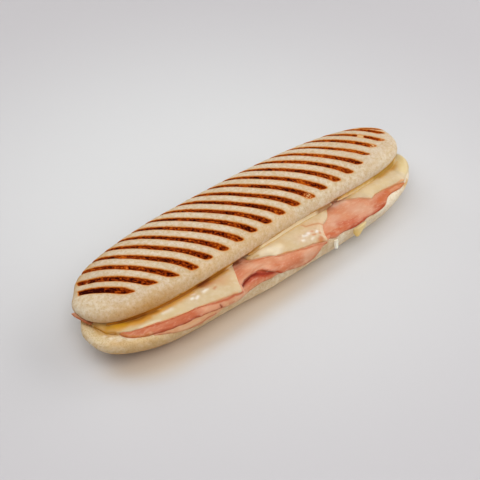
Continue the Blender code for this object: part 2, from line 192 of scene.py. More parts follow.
def sliceBody(name, upper, lower, values):
    # Two grids of points that share their outline, as the faces of a thin slice
    rows, columns = upper.shape[:2]
    top = np.arange(rows * columns).reshape(rows, columns)
    inside = np.zeros((rows, columns), bool)
    inside[1:-1, 1:-1] = True
    under = top.copy()
    under[inside] = rows * columns + np.arange(inside.sum())
    points = np.concatenate((upper.reshape(-1, 3), lower[inside]))

    def quadsOf(index):
        # The faces between neighbours on a grid of point numbers
        return np.stack((index[:-1, :-1], index[1:, :-1], index[1:, 1:], index[:-1, 1:]), -1)

    quads = np.concatenate((quadsOf(top).reshape(-1, 4), quadsOf(under).reshape(-1, 4)[:, ::-1]))
    both = {
        label: np.concatenate((np.concatenate(value), value[inside])) for label, value in values.items()
    }
    outline = np.concatenate((~inside.ravel(), np.zeros(inside.sum(), bool)))
    return bodyFromFaces(name, points, quads, np.zeros((0, 3), int), both, outline)


def colour(hexValue):
    # sRGB hex to linear RGBA
    parts = [int(hexValue[i : i + 2], 16) / 255 for i in (0, 2, 4)]
    return (*[c / 12.92 if c <= 0.04045 else ((c + 0.055) / 1.055) ** 2.4 for c in parts], 1)


# The materials' nodes: Blender's type, its settings, its inputs in the order in which they are given, and
# the output that is used. A ramp is 0 at its first value, 1 at its second and smooth between
nodeKinds = {
    "place": ("TexCoord", {}, (), "Object"),
    "attribute": ("Attribute", {}, (), "Fac"),
    "turned": ("Mapping", {}, ("Vector", "Rotation", "Scale"), 0),
    "parts": ("SeparateXYZ", {}, (0,), "X"),
    "joined": ("CombineXYZ", {}, ("X", "Y"), 0),
    "length": ("VectorMath", {"operation": "LENGTH"}, (0,), "Value"),
    "distance": ("VectorMath", {"operation": "DISTANCE"}, (0, 1), "Value"),
    "noise": ("TexNoise", {}, ("Vector", "Scale", "Detail"), "Fac"),
    "ramp": ("MapRange", {"interpolation_type": "SMOOTHSTEP"}, ("Value", "From Min", "From Max"), "Result"),
    "size": ("Math", {"operation": "ABSOLUTE"}, (0,), 0),
    "largest": ("Math", {"operation": "MAXIMUM"}, (0, 1), 0),
    "sum": ("Math", {}, (0, 1), 0),
    "product": ("Math", {"operation": "MULTIPLY"}, (0, 1), 0),
    "productSum": ("Math", {"operation": "MULTIPLY_ADD"}, (0, 1, 2), 0),
    "mix": ("Mix", {"data_type": "RGBA"}, (0, 6, 7), 2),
    "tint": ("Mix", {"data_type": "RGBA", "blend_type": "MULTIPLY"}, (0, 6, 7), 2),
    "bump": ("Bump", {}, ("Height", "Strength", "Distance"), 0),
}


def setInputs(tree, node, inputs):
    # An input is a value, a hex colour, or another node's output to link
    for label, value in inputs.items():
        if isinstance(value, bpy.types.NodeSocket):
            tree.links.new(value, node.inputs[label])
        else:
            node.inputs[label].default_value = colour(value) if isinstance(value, str) else value


def addNode(tree, kind, *inputs, output=None, **settings):
    # One node of a kind above, with its settings and links, as the output that it gives
    blenderType, ready, labels, usual = nodeKinds[kind]
    node = tree.nodes.new("ShaderNode" + blenderType)
    for label, value in {**ready, **settings}.items():
        setattr(node, label, value)
    setInputs(tree, node, dict(zip(labels, inputs)))
    return node.outputs[usual if output is None else output]


def newMaterial(name, surface, *details):
    # A material whose shader gets the inputs that surface works out from the place on the piece
    material = bpy.data.materials.new(name)
    material.use_nodes = True
    tree = material.node_tree
    add = functools.partial(addNode, tree)
    setInputs(tree, tree.nodes["Principled BSDF"], surface(add, add("place"), *details))
    return material


def overPaint(add, body):
    # The painted tints of a piece over its own colour
    tint = add("attribute", output="Color", attribute_name="paint")
    return add("mix", add("attribute", output="Alpha", attribute_name="paint"), body, tint)


def finishPiece(piece, material, slot, *nodes):
    # Gives a piece its material, puts it under the root, and hides the CAD nodes that it replaces
    # The slot is not used
    piece.data.materials.append(material)
    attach(piece, "root")
    if nodes:
        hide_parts(*nodes)


# The roll's form


roll = {
    "halfLength": 0.130,
    "spine": 0.098,  # outlines are drawn in towards the line between x = -spine and +spine
    "bottomPlace": (-0.0028, -0.0089),
    "bottomWidth": 0.065,
    "bottomHeight": 0.0198,
    "bottomSquareness": 2.55,
    "bottomFront": (0.031, 0.083, -0.016, -0.029),  # lean, waist, sway and ripple
    "bottomBack": (0, 0, 0, 0),
    "rimRadius": 0.0032,
    "baseSpine": 0.040,
    "baseShare": 0.50,
    "wallFlare": 1.8,
    "wallBulge": 1.5,
    "topPlace": (0.0027, 0.0079, 0.0262),
    "topTurn": (-0.48, -0.37, 0.16),  # degrees about X, Y and Z
    "topWidth": 0.0672,
    "topSquareness": 2.48,
    "topFront": (0.004, 0.204, 0.006, 0.013),
    "topBack": (-0.115, -0.004, 0, 0),
    "domeHeight": 0.0127,
    "domeEnds": 3.1,
    "domeRise": 2.16,
    "domeFall": 2.26,
    "edgeIn": 0.0022,
    "edgeDown": 0.0016,
}


def sideFactor(s, swell):
    # 1 + a sum of the first four Chebyshev waves of s, which runs from -1 to 1 along the roll
    lean, waist, sway, ripple = swell
    waves = lean * s + waist * (2 * s**2 - 1) + sway * (4 * s**3 - 3 * s)
    return 1 + waves + ripple * (8 * s**4 - 8 * s**2 + 1)


def halfWidth(s, half, side):
    # A superellipse's half width at s, times the side's own factor
    squareness = roll[half + "Squareness"]
    plain = roll[half + "Width"] / 2 * np.clip(1 - np.abs(s) ** squareness, 0, 1) ** (1 / squareness)
    return plain * sideFactor(s, roll[half + side])


def drawnIn(points, spine, share, inset):
    # Plan points moved towards the spine: to a share of their distance, less an inset
    foot = np.stack((np.clip(points[..., 0], -spine, spine), np.zeros(points.shape[:-1])), -1)
    away = points - foot
    distance = np.linalg.norm(away, axis=-1, keepdims=True)
    return foot + away / np.maximum(distance, 1e-9) * (distance * share - inset)


# The top half, with its grill marks


marks = {
    "turn": math.radians(53),
    "start": 0.0069,
    "pitch": 0.0099,
    "backWidth": 0.0028,
    "frontWidth": 0.0043,
    "depth": 0.0006,
    "side": (0.4, 1.3),  # millimetres outside its outline where a groove starts, and how long its side is
    "lip": (0.00008, 0.9, 0.7),  # crust pushed up beside a groove: height, and place and half width in mm
    "shallower": 0.6,  # share of the depth that a light press leaves out
    # how its sides wander: millimetres, cell, seed, layers
    "wander": [(0.25, 0.014, 31, 1), (0.08, 0.0035, 32, 1)],
    "far": 9.0,  # millimetres to the nearest mark at most
    "corner": 0.5,  # millimetres, radius of the corners of a mark's ends
    # how long the pointed tips are in millimetres, and how sharp: the first three marks, the others
    "tips": ((7.5, 0.9), (4.5, 0.8)),
    "tipCurve": 1.6,
    "tipLean": (0.45, 0.9),  # how far a tip leans to one side, 0 to 1: the first mark, the others
    "endSlant": 0.5,
    "pressReach": 4,  # a light press reaches this many millimetres to each side of a mark's line
    # where each mark ends, in millimetres along it from its middle: back, then front
    "ends": [
        (-82.2, -47.6), (-84.5, -36.3), (-86.0, -25.6), (-82.0, -16.2), (-77.0, -9.6),
        (-70.5, -1.6), (-65.5, 5.6), (-59.5, 12.4), (-53.0, 20.1), (-46.0, 27.3),
        (-39.0, 34.8), (-32.0, 42.8), (-24.0, 49.2), (-15.0, 56.4), (-6.0, 63.2), (1.0, 67.8),
        (10.0, 71.2), (18.0, 74.5), (30.0, 79.0), (46.0, 78.2), (61.5, 77.0),
    ],
    # how far each mark lies from its even place, in millimetres, and how much more per millimetre along
    "shifts": {
        0: (0.9, 0.045), 1: (0.2, 0.015), 11: (0, -0.006), 12: (0, -0.012), 13: (0, -0.014),
        14: (0.1, -0.014), 15: (0, -0.01), 18: (-0.5, 0), 19: (-1.0, 0), 20: (-6.7, 0.22),
    },
    # factors on the usual width, or one for the back end and one for the front end
    "widths": {
        0: (1.65, 1.1), 1: (1.2, 1.08), 2: 1.02, 3: 1.02, 12: 0.98, 13: 0.96, 14: 0.95, 15: 0.92,
        16: 0.72, 17: 0.88, 18: 0.84, 19: 0.95, 20: 0.6,
    },
    # places where the press was light, or below zero strong: mark, middle and half length along it, strength
    "light": [
        (0, -72.0, 14.0, -0.9),
        (1, -78.2, 1.0, 0.7), (11, 38.5, 4.0, 0.8), (16, 52.0, 5.0, 0.6), (16, 60.0, 4.0, 0.45),
        (17, 72.5, 3.0, 0.8), (18, 63.2, 2.4, 1.6), (15, 41.5, 1.6, 0.6), (5, -8.0, 1.5, 0.5),
        (7, 0.5, 2.0, 0.5), (9, 22.0, 2.0, 0.4), (13, 51.0, 1.6, 0.6), (8, -30.0, 3.0, 0.4),
        (18, 78.0, 2.0, 0.8), (14, 30.0, 2.0, 0.4), (3, -61.0, 1.2, 0.6), (12, 33.0, 2.5, 0.5),
        (10, 10.0, 2.0, 0.4), (13, 20.0, 1.5, 0.4), (2, -56.0, 1.2, 0.6), (0, -65.0, 2.0, 0.6),
    ],
}


def markDistance(plan):
    # Signed distance in millimetres from a plan point to the nearest mark's outline, and how lightly it
    # was pressed, as a sum of e^-(distance along / reach)^2. Each mark is a strip that widens towards the
    # front, with a slanted back end, a pointed front tip and wandering sides
    turn = marks["turn"]
    across = plan @ (math.sin(turn), math.cos(turn)) / millimetre
    along = plan @ (math.cos(turn), -math.sin(turn)) / millimetre
    across = across + noiseSum(flatPoints(plan), marks["wander"])
    middle = (len(marks["ends"]) - 1) / 2
    nearest = np.full(across.shape, marks["far"])
    corner = marks["corner"]
    lightness = np.zeros(across.shape)
    for number, (back, front) in enumerate(marks["ends"]):
        shift, bend = marks["shifts"].get(number, (0, 0))
        line = (marks["start"] + (number - middle) * marks["pitch"]) / millimetre
        line = line + shift + bend * (along - (back + front) / 2)
        run = np.clip((along - back) / (front - back), 0, 1)
        backFactor, frontFactor = np.broadcast_to(marks["widths"].get(number, 1), 2)
        narrow, wide = marks["backWidth"] * backFactor, marks["frontWidth"] * frontFactor
        half = (narrow + (wide - narrow) * run) / 2 / millimetre
        # the front tip narrows towards one side of the mark
        tip, sharp = marks["tips"][min(number // 3, 1)]
        pointed = half * (1 - sharp * np.clip((along - front + tip) / tip, 0, 1) ** marks["tipCurve"])
        line = line + marks["tipLean"][min(number, 1)] * (half - pointed)
        half = pointed
        slant = marks["endSlant"] * (across - line)
        sideways = np.abs(across - line) - half + corner
        beyond = np.maximum(back + corner - slant - along, along - front + corner)
        outside = np.hypot(np.maximum(sideways, 0), np.maximum(beyond, 0))
        distance = outside + np.minimum(np.maximum(sideways, beyond), 0) - corner
        nearest = np.minimum(nearest, distance)
        here = np.abs(across - line) < marks["pressReach"]
        for which, place, reach, strength in marks["light"]:
            if which == number:
                lightness += strength * np.exp(-(((along - place) / reach) ** 2)) * here
    return nearest, lightness


def nudged(plan, nudges):
    # Each nudge moves the plan about a place: x, y and radius, then how far in x and y, all in
    # millimetres, fading as e^-(distance / radius)^2
    moved = plan.copy()
    for x, y, radius, moveX, moveY in nudges:
        fade = fadeFrom(plan, [(x, y)], radius)[..., None]
        moved += fade * np.array((moveX, moveY)) * millimetre
    return moved


def crestHeight(s):
    # The dome's highest line, a superellipse along the roll
    power = roll["domeEnds"]
    return roll["domeHeight"] * np.clip(1 - np.abs(s) ** power, 0, 1) ** (1 / power)


def placedTop(points):
    # Turned about X, then Y, then Z, and moved to the top half's place
    x, y, z = np.radians(roll["topTurn"])
    aboutX = np.array([[1, 0, 0], [0, np.cos(x), -np.sin(x)], [0, np.sin(x), np.cos(x)]])
    aboutY = np.array([[np.cos(y), 0, np.sin(y)], [0, 1, 0], [-np.sin(y), 0, np.cos(y)]])
    aboutZ = np.array([[np.cos(z), -np.sin(z), 0], [np.sin(z), np.cos(z), 0], [0, 0, 1]])
    return points @ (aboutZ @ aboutY @ aboutX).T + roll["topPlace"]


topDetail = {
    "stations": 430,
    "domeSteps": 150,
    "edgeSteps": 8,
    "undersideSteps": 40,
    # unevenness of the crust, slow and fine, and of the cut face: height, cell, seed
    "crust": [(0.00026, 0.026, 3), (0.00007, 0.0045, 11)],
    "crumb": [(0.00016, 0.0024, 17)],
    # how tan the crust is: everywhere, and more about an x in millimetres, with its radius
    "tan": (0.22, 0.58, -98, 30),
    "tanFade": (0.6, -10, 60),  # how much less at the right, from this x, over this length
    "tanLow": (0.1, 0.6),  # how far below the dome's top it starts, 0 to 1, and over how much
    # the dome's upper part is a little cooler in colour: how far down, over how much, from which x in
    # millimetres, over what length
    "toast": (0.45, 0.3, -121, 12),
    "sunkCorner": (-0.116, 0.017, 0.013, 0.0032),  # x, y, radius and depth of a low place
    "nudges": [(-125, 16, 9.5, 1.9, -1.7), (20, -36, 24, 0, 1.5), (60, -38, 22, 0, 1.2)],
    # where butter soaked the front edge: from, to, fade at these ends, height, fade above it, furthest y
    "soaked": (-0.117, 0.121, 0.008, -0.0006, 0.0011, -0.002),
    "soakedWander": [(0.45, 0.007, 19)],
    # tints in the top's own plan: line, half width, strength, colour
    "strokes": [
        ([(-60, -25), (-20, -25), (20, -24)], 3.0, 0.3, "e0b070"),
        ([(90, -10), (118, 0), (112, 14)], 14, 0.6, "d4bfa4"),
        ([(-118, 12), (-108, 0)], 9, 0.3, "dcc8ac"),
    ],
}


def topEdge(s, reach, turn):
    # The soft edge from its widest line (turn 0) down and in to the cut face (turn a quarter)
    widest = np.stack((s * roll["halfLength"] + 0 * turn, reach + 0 * turn), -1)
    inset = roll["edgeIn"] * (1 - np.cos(turn)) + 0 * s
    drawn = drawnIn(widest, roll["spine"], 1, inset[..., None])
    down = -roll["edgeDown"] * np.sin(turn) + 0 * s
    return np.concatenate((nudged(drawn, topDetail["nudges"]), down[..., None]), -1)


def topHalf():
    # Sections across the roll, each running over the dome t = cos(angle) from back to front, round the
    # soft front edge, back under the cut face and round the back edge
    s = crowdedEnds(topDetail["stations"])[:, None]
    front = halfWidth(s, "top", "Front")
    back = halfWidth(s, "top", "Back")
    angle = np.linspace(0, math.pi, topDetail["domeSteps"])[None]
    t = np.cos(angle)
    rise = np.clip(1 - np.abs(t) ** roll["domeRise"], 0, 1) ** (1 / roll["domeFall"])
    domeX = s * roll["halfLength"] + 0 * t
    domeY = t * np.where(t > 0, back, front)
    x, y, radius, depth = topDetail["sunkCorner"]
    sunk = depth * np.exp(-(((domeX - x) ** 2 + (domeY - y) ** 2) / radius**2))
    domeZ = (crestHeight(s) - sunk) * rise
    turns = np.linspace(0, math.pi / 2, topDetail["edgeSteps"] + 1)[None, 1:]
    frontEdge = topEdge(s, -front, turns)
    backEdge = topEdge(s, back, turns[:, ::-1])
    mix = np.linspace(0, 1, topDetail["undersideSteps"] + 2)[1:-1][None, :, None]
    underside = frontEdge[:, -1:] * (1 - mix) + backEdge[:, :1] * mix
    dome = np.stack((domeX, domeY, domeZ), -1)
    flat = dome[..., :2].copy()
    dome[..., :2] = nudged(flat, topDetail["nudges"])
    rings = np.concatenate((dome, frontEdge, underside, backEdge), 1)

    size = rings.shape[:2]
    charDistance, lowness = np.full(size, marks["far"]), np.ones(size)
    light, cut = np.zeros(size), np.zeros(size)
    count = topDetail["domeSteps"]
    charDistance[:, :count], light[:, :count] = markDistance(flat)
    lowness[:, :count] = 1 - rise
    # the crust is tannest low down and round the left end
    along = rings[..., 0] / millimetre
    tan, more, place, radius = topDetail["tan"]
    less, fadeStart, fadeLength = topDetail["tanFade"]
    browner = tan + more * np.exp(-(((along - place) / radius) ** 2))
    browner = browner * (1 - less * smoothStep((along - fadeStart) / fadeLength))
    start, length = topDetail["tanLow"]
    browned = browner * smoothStep((lowness - start) / length)
    end, length, fadeStart, fadeLength = topDetail["toast"]
    toasted = smoothStep((end - lowness) / length) * smoothStep((along - fadeStart) / fadeLength)
    last = count + topDetail["edgeSteps"]
    cut[:, last : last + topDetail["undersideSteps"]] = 1

    normals = surfaceNormals(rings, True)
    if normals[len(rings) // 2, count // 2, 2] < 0:
        normals = -normals
    start, length = marks["side"]
    pressed = smoothStep((start - charDistance) / length)
    lipHeight, place, width = marks["lip"]
    lip = lipHeight * np.exp(-(((charDistance - place) / width) ** 2))
    height = lip - marks["depth"] * pressed * (1 - marks["shallower"] * np.clip(light, 0, 1))
    height += noiseSum(rings, topDetail["crust"]) + noiseSum(rings, topDetail["crumb"]) * cut
    height[0] = height[-1] = 0
    left, right, ends, high, step, front = topDetail["soaked"]
    x, y, z = np.moveaxis(rings, -1, 0)
    wander = 1 + noiseSum(rings, topDetail["soakedWander"])
    soaked = smoothStep((high + step * wander - z) / step) * (y < front)
    soaked *= smoothStep((x - left) / ends) * smoothStep((right - x) / ends)
    values = {
        "soaked": soaked,
        "charDistance": charDistance,
        "lightPress": light,
        "browned": browned,
        "toasted": toasted,
        "cut": cut,
        "paint": painted(rings[..., :2], topDetail["strokes"]),
    }
    return ringedBody("topHalf", placedTop(rings + normals * height[..., None]), values)


# The bottom half


bottomDetail = {
    "around": 880,
    "floorRings": 5,
    "wallRings": 34,
    "rimRings": 12,
    "cutRings": 22,
    "cutPull": 2.5,  # how strongly the cut's rings crowd towards the rim
    "cutFade": (2, 6),  # the crumb starts this many rings above the wall, over this many
    # unevenness of the crust, slow and fine, and of the cut rim: height, cell, seed
    "crust": [(0.0003, 0.022, 41), (0.00007, 0.004, 47)],
    "crumb": [(0.00018, 0.0042, 53)],
    "even": 0.004,  # below this height the crust gets evener towards the base
    "unpainted": 0.006,  # below this height the tints fade
    "nudges": [
        (-119, 23, 8, -2.7, 2.4), (-129, 1, 8, 0.6, -0.5), (124, -6, 12, 0.5, -0.3), (128, 4, 12, 2.4, 0.4),
    ],
    "lowNudges": [(-6, -37, 24, 0, -3.2), (30, -37, 16, 0, -0.8)],
    "low": (0.016, 0.009),  # the low nudges start below this height and are full this much lower
    # tints in the bottom's own plan: line, half width, strength, colour
    "strokes": [
        ([(-119, -12), (-104, -26), (-80, -32.5), (-45, -32)], 6, 0.55, "dcae62"),
        ([(-45, -32), (0, -33), (40, -36)], 6, 0.45, "dfc096"),
        # painted light: a light tint on the rim just below the middle ham, where it lies in shade
        ([(-42, -33), (-20, -32.6)], 2.2, 0.6, "fdecd0"),
        # the right wall's own pale colour, made lighter still as painted light over its shade
        ([(45, -38), (75, -37), (100, -30), (118, -20)], 8, 0.8, "f8ead6"),
        ([(-126, 12), (-124, -4)], 5, 0.4, "d9b878"),
        ([(-121, -7), (-117, -11.5), (-112, -16)], 2.6, 0.8, "f0e0c2"),
        ([(92, -27.5), (99, -26.5), (106, -26), (113, -22)], 3.2, 0.75, "f2e4cc"),
        ([(-121, 22), (-121.5, 6), (-122, 0), (-121, -3), (-118.5, -6)], 2.4, 0.55, "d8a84e"),
        (
            [(-120, 24), (-121, 6), (-121.2, 0.2), (-120, -3.0), (-117.6, -6.4), (-115.3, -8.6)],
            0.9, 0.9, "be861c",
        ),
        ([(-122.4, -4)], 1.1, 0.8, "f8eedc"),
        ([(-120.6, -8.6)], 1.2, 0.8, "f8eedc"),
        ([(-118, -12.2)], 1.3, 0.8, "f8eedc"),
        ([(-113.6, -15.6)], 1.3, 0.8, "f8eedc"),
        ([(-109.6, -18)], 1.1, 0.7, "f8eedc"),
        ([(-121.6, -6.2)], 0.9, 0.7, "cfa258"),
        ([(-119.2, -10.4)], 0.9, 0.7, "cfa258"),
        ([(-116, -13.8)], 0.9, 0.7, "cfa258"),
        ([(-124, -13), (-116, -19)], 5, 0.4, "c9a672"),
        ([(111.5, -22), (116, -20.2), (118, -18.6)], 0.6, 0.7, "dba84c"),
    ],
}


def bottomOutline(azimuth):
    # The superellipse's point at an angle, with the front side's own half widths
    squareness = roll["bottomSquareness"]
    s = np.sign(np.cos(azimuth)) * np.abs(np.cos(azimuth)) ** (2 / squareness)
    front, back = halfWidth(s, "bottom", "Front"), halfWidth(s, "bottom", "Back")
    y = np.where(np.sin(azimuth) < 0, -front, back)
    return np.stack((s * roll["halfLength"], y), -1)


def evenOutline(count):
    # The bottom outline at points evenly spaced by length
    dense = bottomOutline(np.linspace(0, 2 * math.pi, 20001))
    length = np.concatenate(([0], np.cumsum(np.linalg.norm(np.diff(dense, axis=0), axis=1))))
    wanted = np.arange(count) / count * length[-1]
    return np.stack([np.interp(wanted, length, dense[:, i]) for i in (0, 1)], -1)


def bottomHalf():
    # Levels from the middle of the flat base out, up the wall, round the soft rim and in over the cut
    widest = evenOutline(bottomDetail["around"])[None]
    base = drawnIn(widest, roll["baseSpine"], roll["baseShare"], 0)
    rimHeight = roll["bottomHeight"] - roll["rimRadius"]

    def level(plan, height):
        # Plan points at one height
        return np.concatenate((plan, np.broadcast_to(height, (*plan.shape[:-1], 1))), -1)

    share = np.linspace(0, 1, bottomDetail["floorRings"] + 1)[:-1, None, None]
    floorLevels = level(base * share, 0.0)
    turn = np.linspace(0, math.pi / 2, bottomDetail["wallRings"])[:, None, None]
    out = np.sin(turn)
    rise = 1 - (1 - out ** roll["wallFlare"]) ** (1 / roll["wallBulge"])
    wallLevels = level(base + (widest - base) * out, rimHeight * rise)
    turn = np.linspace(0, math.pi / 2, bottomDetail["rimRings"] + 1)[1:, None, None]
    inset = roll["rimRadius"] * (1 - np.cos(turn))
    rim = drawnIn(np.repeat(widest, len(turn), 0), roll["spine"], 1, inset)
    rimLevels = level(rim, rimHeight + roll["rimRadius"] * np.sin(turn))
    share = (1 - crowdedStart(bottomDetail["cutRings"], bottomDetail["cutPull"]))[1:, None, None]
    cutLevels = level(rim[-1:] * share, roll["bottomHeight"])
    rings = np.concatenate((floorLevels, wallLevels, rimLevels, cutLevels))

    step = np.arange(len(rings))[:, None] + np.zeros(rings.shape[:2])
    firstRim = bottomDetail["floorRings"] + bottomDetail["wallRings"]
    first, fade = bottomDetail["cutFade"]
    cut = smoothStep((step - firstRim - first) / fade)
    values = {
        "cut": cut,
        "wallShare": np.clip(rings[..., 2] / rimHeight, 0, 1),
        "paint": painted(rings[..., :2], bottomDetail["strokes"]),
    }
    values["paint"][..., 3] *= smoothStep(rings[..., 2] / bottomDetail["unpainted"])
    rings[..., :2] = nudged(rings[..., :2], bottomDetail["nudges"])
    start, length = bottomDetail["low"]
    low = smoothStep((start - rings[..., 2:]) / length)
    rings[..., :2] += (nudged(rings[..., :2], bottomDetail["lowNudges"]) - rings[..., :2]) * low
    normals = surfaceNormals(rings, True)
    if normals[len(rings) // 2 - 6, 0, 0] < 0:
        normals = -normals
    raised = smoothStep(rings[..., 2] / bottomDetail["even"])
    height = noiseSum(rings, bottomDetail["crust"]) * raised + noiseSum(rings, bottomDetail["crumb"]) * cut
    height[0] = height[-1] = 0
    placed = rings + normals * height[..., None] + (*roll["bottomPlace"], 0)
    return ringedBody("bottomHalf", placed, values)


# Slices laid on the bottom half. Plan points are millimetres about the bottom half's middle


def endReaches():
    # For each end: the outline's distance from the spine's end, by angle
    found = {}
    for sign in (-1, 1):
        azimuth = np.linspace(-math.pi / 2, math.pi / 2, 2881)
        azimuth = azimuth if sign > 0 else math.pi - azimuth
        away = bottomOutline(azimuth) - (sign * roll["spine"], 0)
        away = away[sign * away[:, 0] > -1e-4]
        angle = np.arctan2(away[:, 1], sign * away[:, 0])
        order = np.argsort(angle)
        found[sign] = (angle[order], np.hypot(*away.T)[order])
    return found


reachesByEnd = endReaches()


steepest = 1.45  # radians by which a slice turns over the rim at most


def drape(plan, lift):
    # A flat plan point laid over the bottom half, lift above the bread: along the cut face, then turned
    # over the rim, then hanging straight
    x, y = plan[..., 0], plan[..., 1]
    footX = np.clip(x, -roll["spine"], roll["spine"])
    away = np.stack((x - footX, y), -1)
    distance = np.maximum(np.linalg.norm(away, axis=-1), 1e-9)
    away = away / distance[..., None]
    s = footX / roll["halfLength"]
    front, back = halfWidth(s, "bottom", "Front"), halfWidth(s, "bottom", "Back")
    reach = np.where(away[..., 1] < 0, front, back)
    for sign in (-1, 1):
        angle = np.arctan2(away[..., 1], sign * away[..., 0])
        beyond = np.interp(angle, *reachesByEnd[sign])
        reach = np.where(sign * footX >= roll["spine"], beyond, reach)
    radius = roll["rimRadius"]
    over = distance - (reach - radius)
    turn = np.clip(over / radius, 0, steepest)
    hang = np.maximum(over, 0) - turn * radius
    turned = reach - radius + (radius + lift) * np.sin(turn) + hang * np.cos(turn)
    lowered = roll["bottomHeight"] - radius + (radius + lift) * np.cos(turn) - hang * np.sin(turn)
    distance = np.where(over > 0, turned, distance)
    height = np.where(over > 0, lowered, roll["bottomHeight"] + lift)
    flat = np.stack((footX, np.zeros_like(footX)), -1) + away * distance[..., None]
    flat = nudged(flat, bottomDetail["nudges"])
    place = np.array((*roll["bottomPlace"], 0))
    return np.concatenate((flat, height[..., None]), -1) + place


def flatLay(plan, lift):
    # Straight above the cut face, also beyond the rim
    height = (roll["bottomHeight"] + lift)[..., None]
    return np.concatenate((plan, height), -1) + (*roll["bottomPlace"], 0)


def jointLine():
    # Where the top half's front edge, half a radian down, stands over the bottom half, in the bottom's
    # plan millimetres
    s = np.linspace(-0.95, 0.96, 60)[:, None]
    edge = placedTop(topEdge(s, -halfWidth(s, "top", "Front"), np.full((1, 1), 0.5)))[:, 0]
    return [tuple(point) for point in (edge[:, :2] - roll["bottomPlace"]) / millimetre]


joint = jointLine()


def jointPart(low, high, forward=0):
    # The joint's points whose x lies between two values, moved towards -y, all in millimetres
    return [(x, y - forward) for x, y in joint if low <= x <= high]


def smoothCurve(points):
    # A Catmull-Rom curve through the points, as a function of 0 to 1 by length
    points = np.array(points, float) * millimetre
    padded = np.vstack((2 * points[0] - points[1], points, 2 * points[-1] - points[-2]))
    t = np.linspace(0, 1, 13)[:-1, None]
    pieces = []
    for a, b, c, d in zip(padded, padded[1:], padded[2:], padded[3:]):
        bend = (2 * a - 5 * b + 4 * c - d) * t**2
        twist = (3 * b - a - 3 * c + d) * t**3
        pieces.append((2 * b + (c - a) * t + bend + twist) / 2)
    path = np.vstack((*pieces, points[-1]))
    length = np.concatenate(([0], np.cumsum(np.linalg.norm(np.diff(path, axis=0), axis=1))))
    length /= length[-1]
    return lambda u: np.stack([np.interp(u, length, path[:, i]) for i in (0, 1)], -1)


def coonsPatch(edges, u, v):
    # The plan inside four edges: both ruled surfaces added, less the one through the corners
    front, back = edges["front"], edges["back"]
    corners = np.array((front[0], front[-1], back[0], back[-1]), float) * millimetre
    left = smoothCurve([front[0], *edges.get("left", ()), back[0]])(v)[None]
    right = smoothCurve([front[-1], *edges.get("right", ()), back[-1]])(v)[None]
    near, far = smoothCurve(front)(u)[:, None], smoothCurve(back)(u)[:, None]
    u, v = u[:, None, None], v[None, :, None]
    ruled = (1 - u) * left + u * right + (1 - v) * near + v * far
    low = (1 - u) * corners[0] + u * corners[1]
    return ruled - (1 - v) * low - v * ((1 - u) * corners[2] + u * corners[3])


filling = {
    "bed": 0.0001,  # the lowest slices lie this far above the cut face
    "sink": 0.00035,  # how far an outline sinks into what is below it
    "ragReach": 0.006,  # how far in from its front edge a slice is ragged
    "overLower": 0.0008,  # how far the lower slices of ham lift the others
    "lower": ((-103.5, -53.5, -60, -16.5), (-51.5, -6.5, -60, -17)),  # left, right, front, back in mm
    "step": 0.006,  # over this length a slice goes from one height to the next
    "onHam": 0.0012,  # the cheese lies this far above what the ham lies on
    "onCheese": 0.0026,  # the scrap of ham lies this far above the cut face
}

# The middle slice of ham rises off the lower one beside the cheese's slanted edge
arch = {
    "corner": (-0.0389, -0.0276),
    "slant": 0.593,
    "middle": 0.0152,  # from the corner, along x
    "reach": 0.0145,
    "rise": 0.0026,
    "front": (-0.0195, 0.007),  # it rises in front of this y, over this length
    "swell": 0.0024,  # how far the lower slice swells up to meet it
    "back": (-0.0282, 0.0045),
}


def overBox(plan, box):
    # 1 over a plan box, fading to 0 across the step round it
    left, right, front, back = (edge * millimetre for edge in box)
    x, y = plan[..., 0], plan[..., 1]
    outside = np.max((left - x, x - right, front - y, y - back), axis=0)
    return smoothStep(1 - outside / filling["step"])


def bedLift(plan):
    # The same small height everywhere
    return np.full(plan.shape[:-1], filling["bed"])


def hamLift(plan):
    # The bed, raised over the boxes of the lower slices
    under = np.max([overBox(plan, box) for box in filling["lower"]], axis=0)
    return filling["bed"] + filling["overLower"] * under


def archShare(plan):
    # 1 along the arch's middle, which slants with the cheese's edge, and 0 beyond its reach
    x, y = plan[..., 0] - arch["corner"][0], plan[..., 1] - arch["corner"][1]
    return smoothStep(1 - np.abs(x - arch["slant"] * y - arch["middle"]) / arch["reach"])


def hamMiddleLift(plan):
    # The arch's rise in front of a y, added to what the ham lies on
    y, length = arch["front"]
    return hamLift(plan) + arch["rise"] * archShare(plan) * smoothStep((y - plan[..., 1]) / length)


def hamMiddleLowerLift(plan):
    # The arch's swell behind a y, added to the bed
    y, length = arch["back"]
    return filling["bed"] + arch["swell"] * archShare(plan) * smoothStep((plan[..., 1] - y) / length)


def onHam(plan):
    # A constant height above what the ham lies on
    return hamLift(plan) + filling["onHam"]


def sinkingLift(side, endX, endY, slant):
    # On the ham, and sunk to the bread past the ham's slanted left end (side -1) or right end (side 1)
    def lift(plan):
        # The height falls by a smooth step of the distance beyond the line
        beyond = side * (plan[..., 0] - endX - slant * (plan[..., 1] - endY))
        return hamLift(plan) + filling["onHam"] * (1 - smoothStep(beyond / filling["step"]))

    return lift


cheeseLeftLift = sinkingLift(-1, -0.1161, -0.0094, 0.39)
cheeseRightLift = sinkingLift(1, 0.1127, -0.0209, -0.29)


def onCheese(plan):
    # The same height everywhere, on top of the cheese
    return np.full(plan.shape[:-1], filling["onCheese"])


# How the slices wave and how melted cheese blisters: height, cell, seed and layers, and the lines of the
# blisters in plan millimetres, with their width and strength
waves = {
    "ham": [(0.00018, 0.013, 81), (0.00003, 0.0028, 83, 2)],
    "hamUp": 0.000072,
    "cheese": [(0.0002, 0.012, 85), (0.00004, 0.003, 86)],
    "blister": [(0.0003, 0.0021, 89, 2)],
    "blistered": [([(22, -19), (33, -23)], 6, 1.0), ([(-66, -17), (-53, -16)], 4, 0.8)],
}


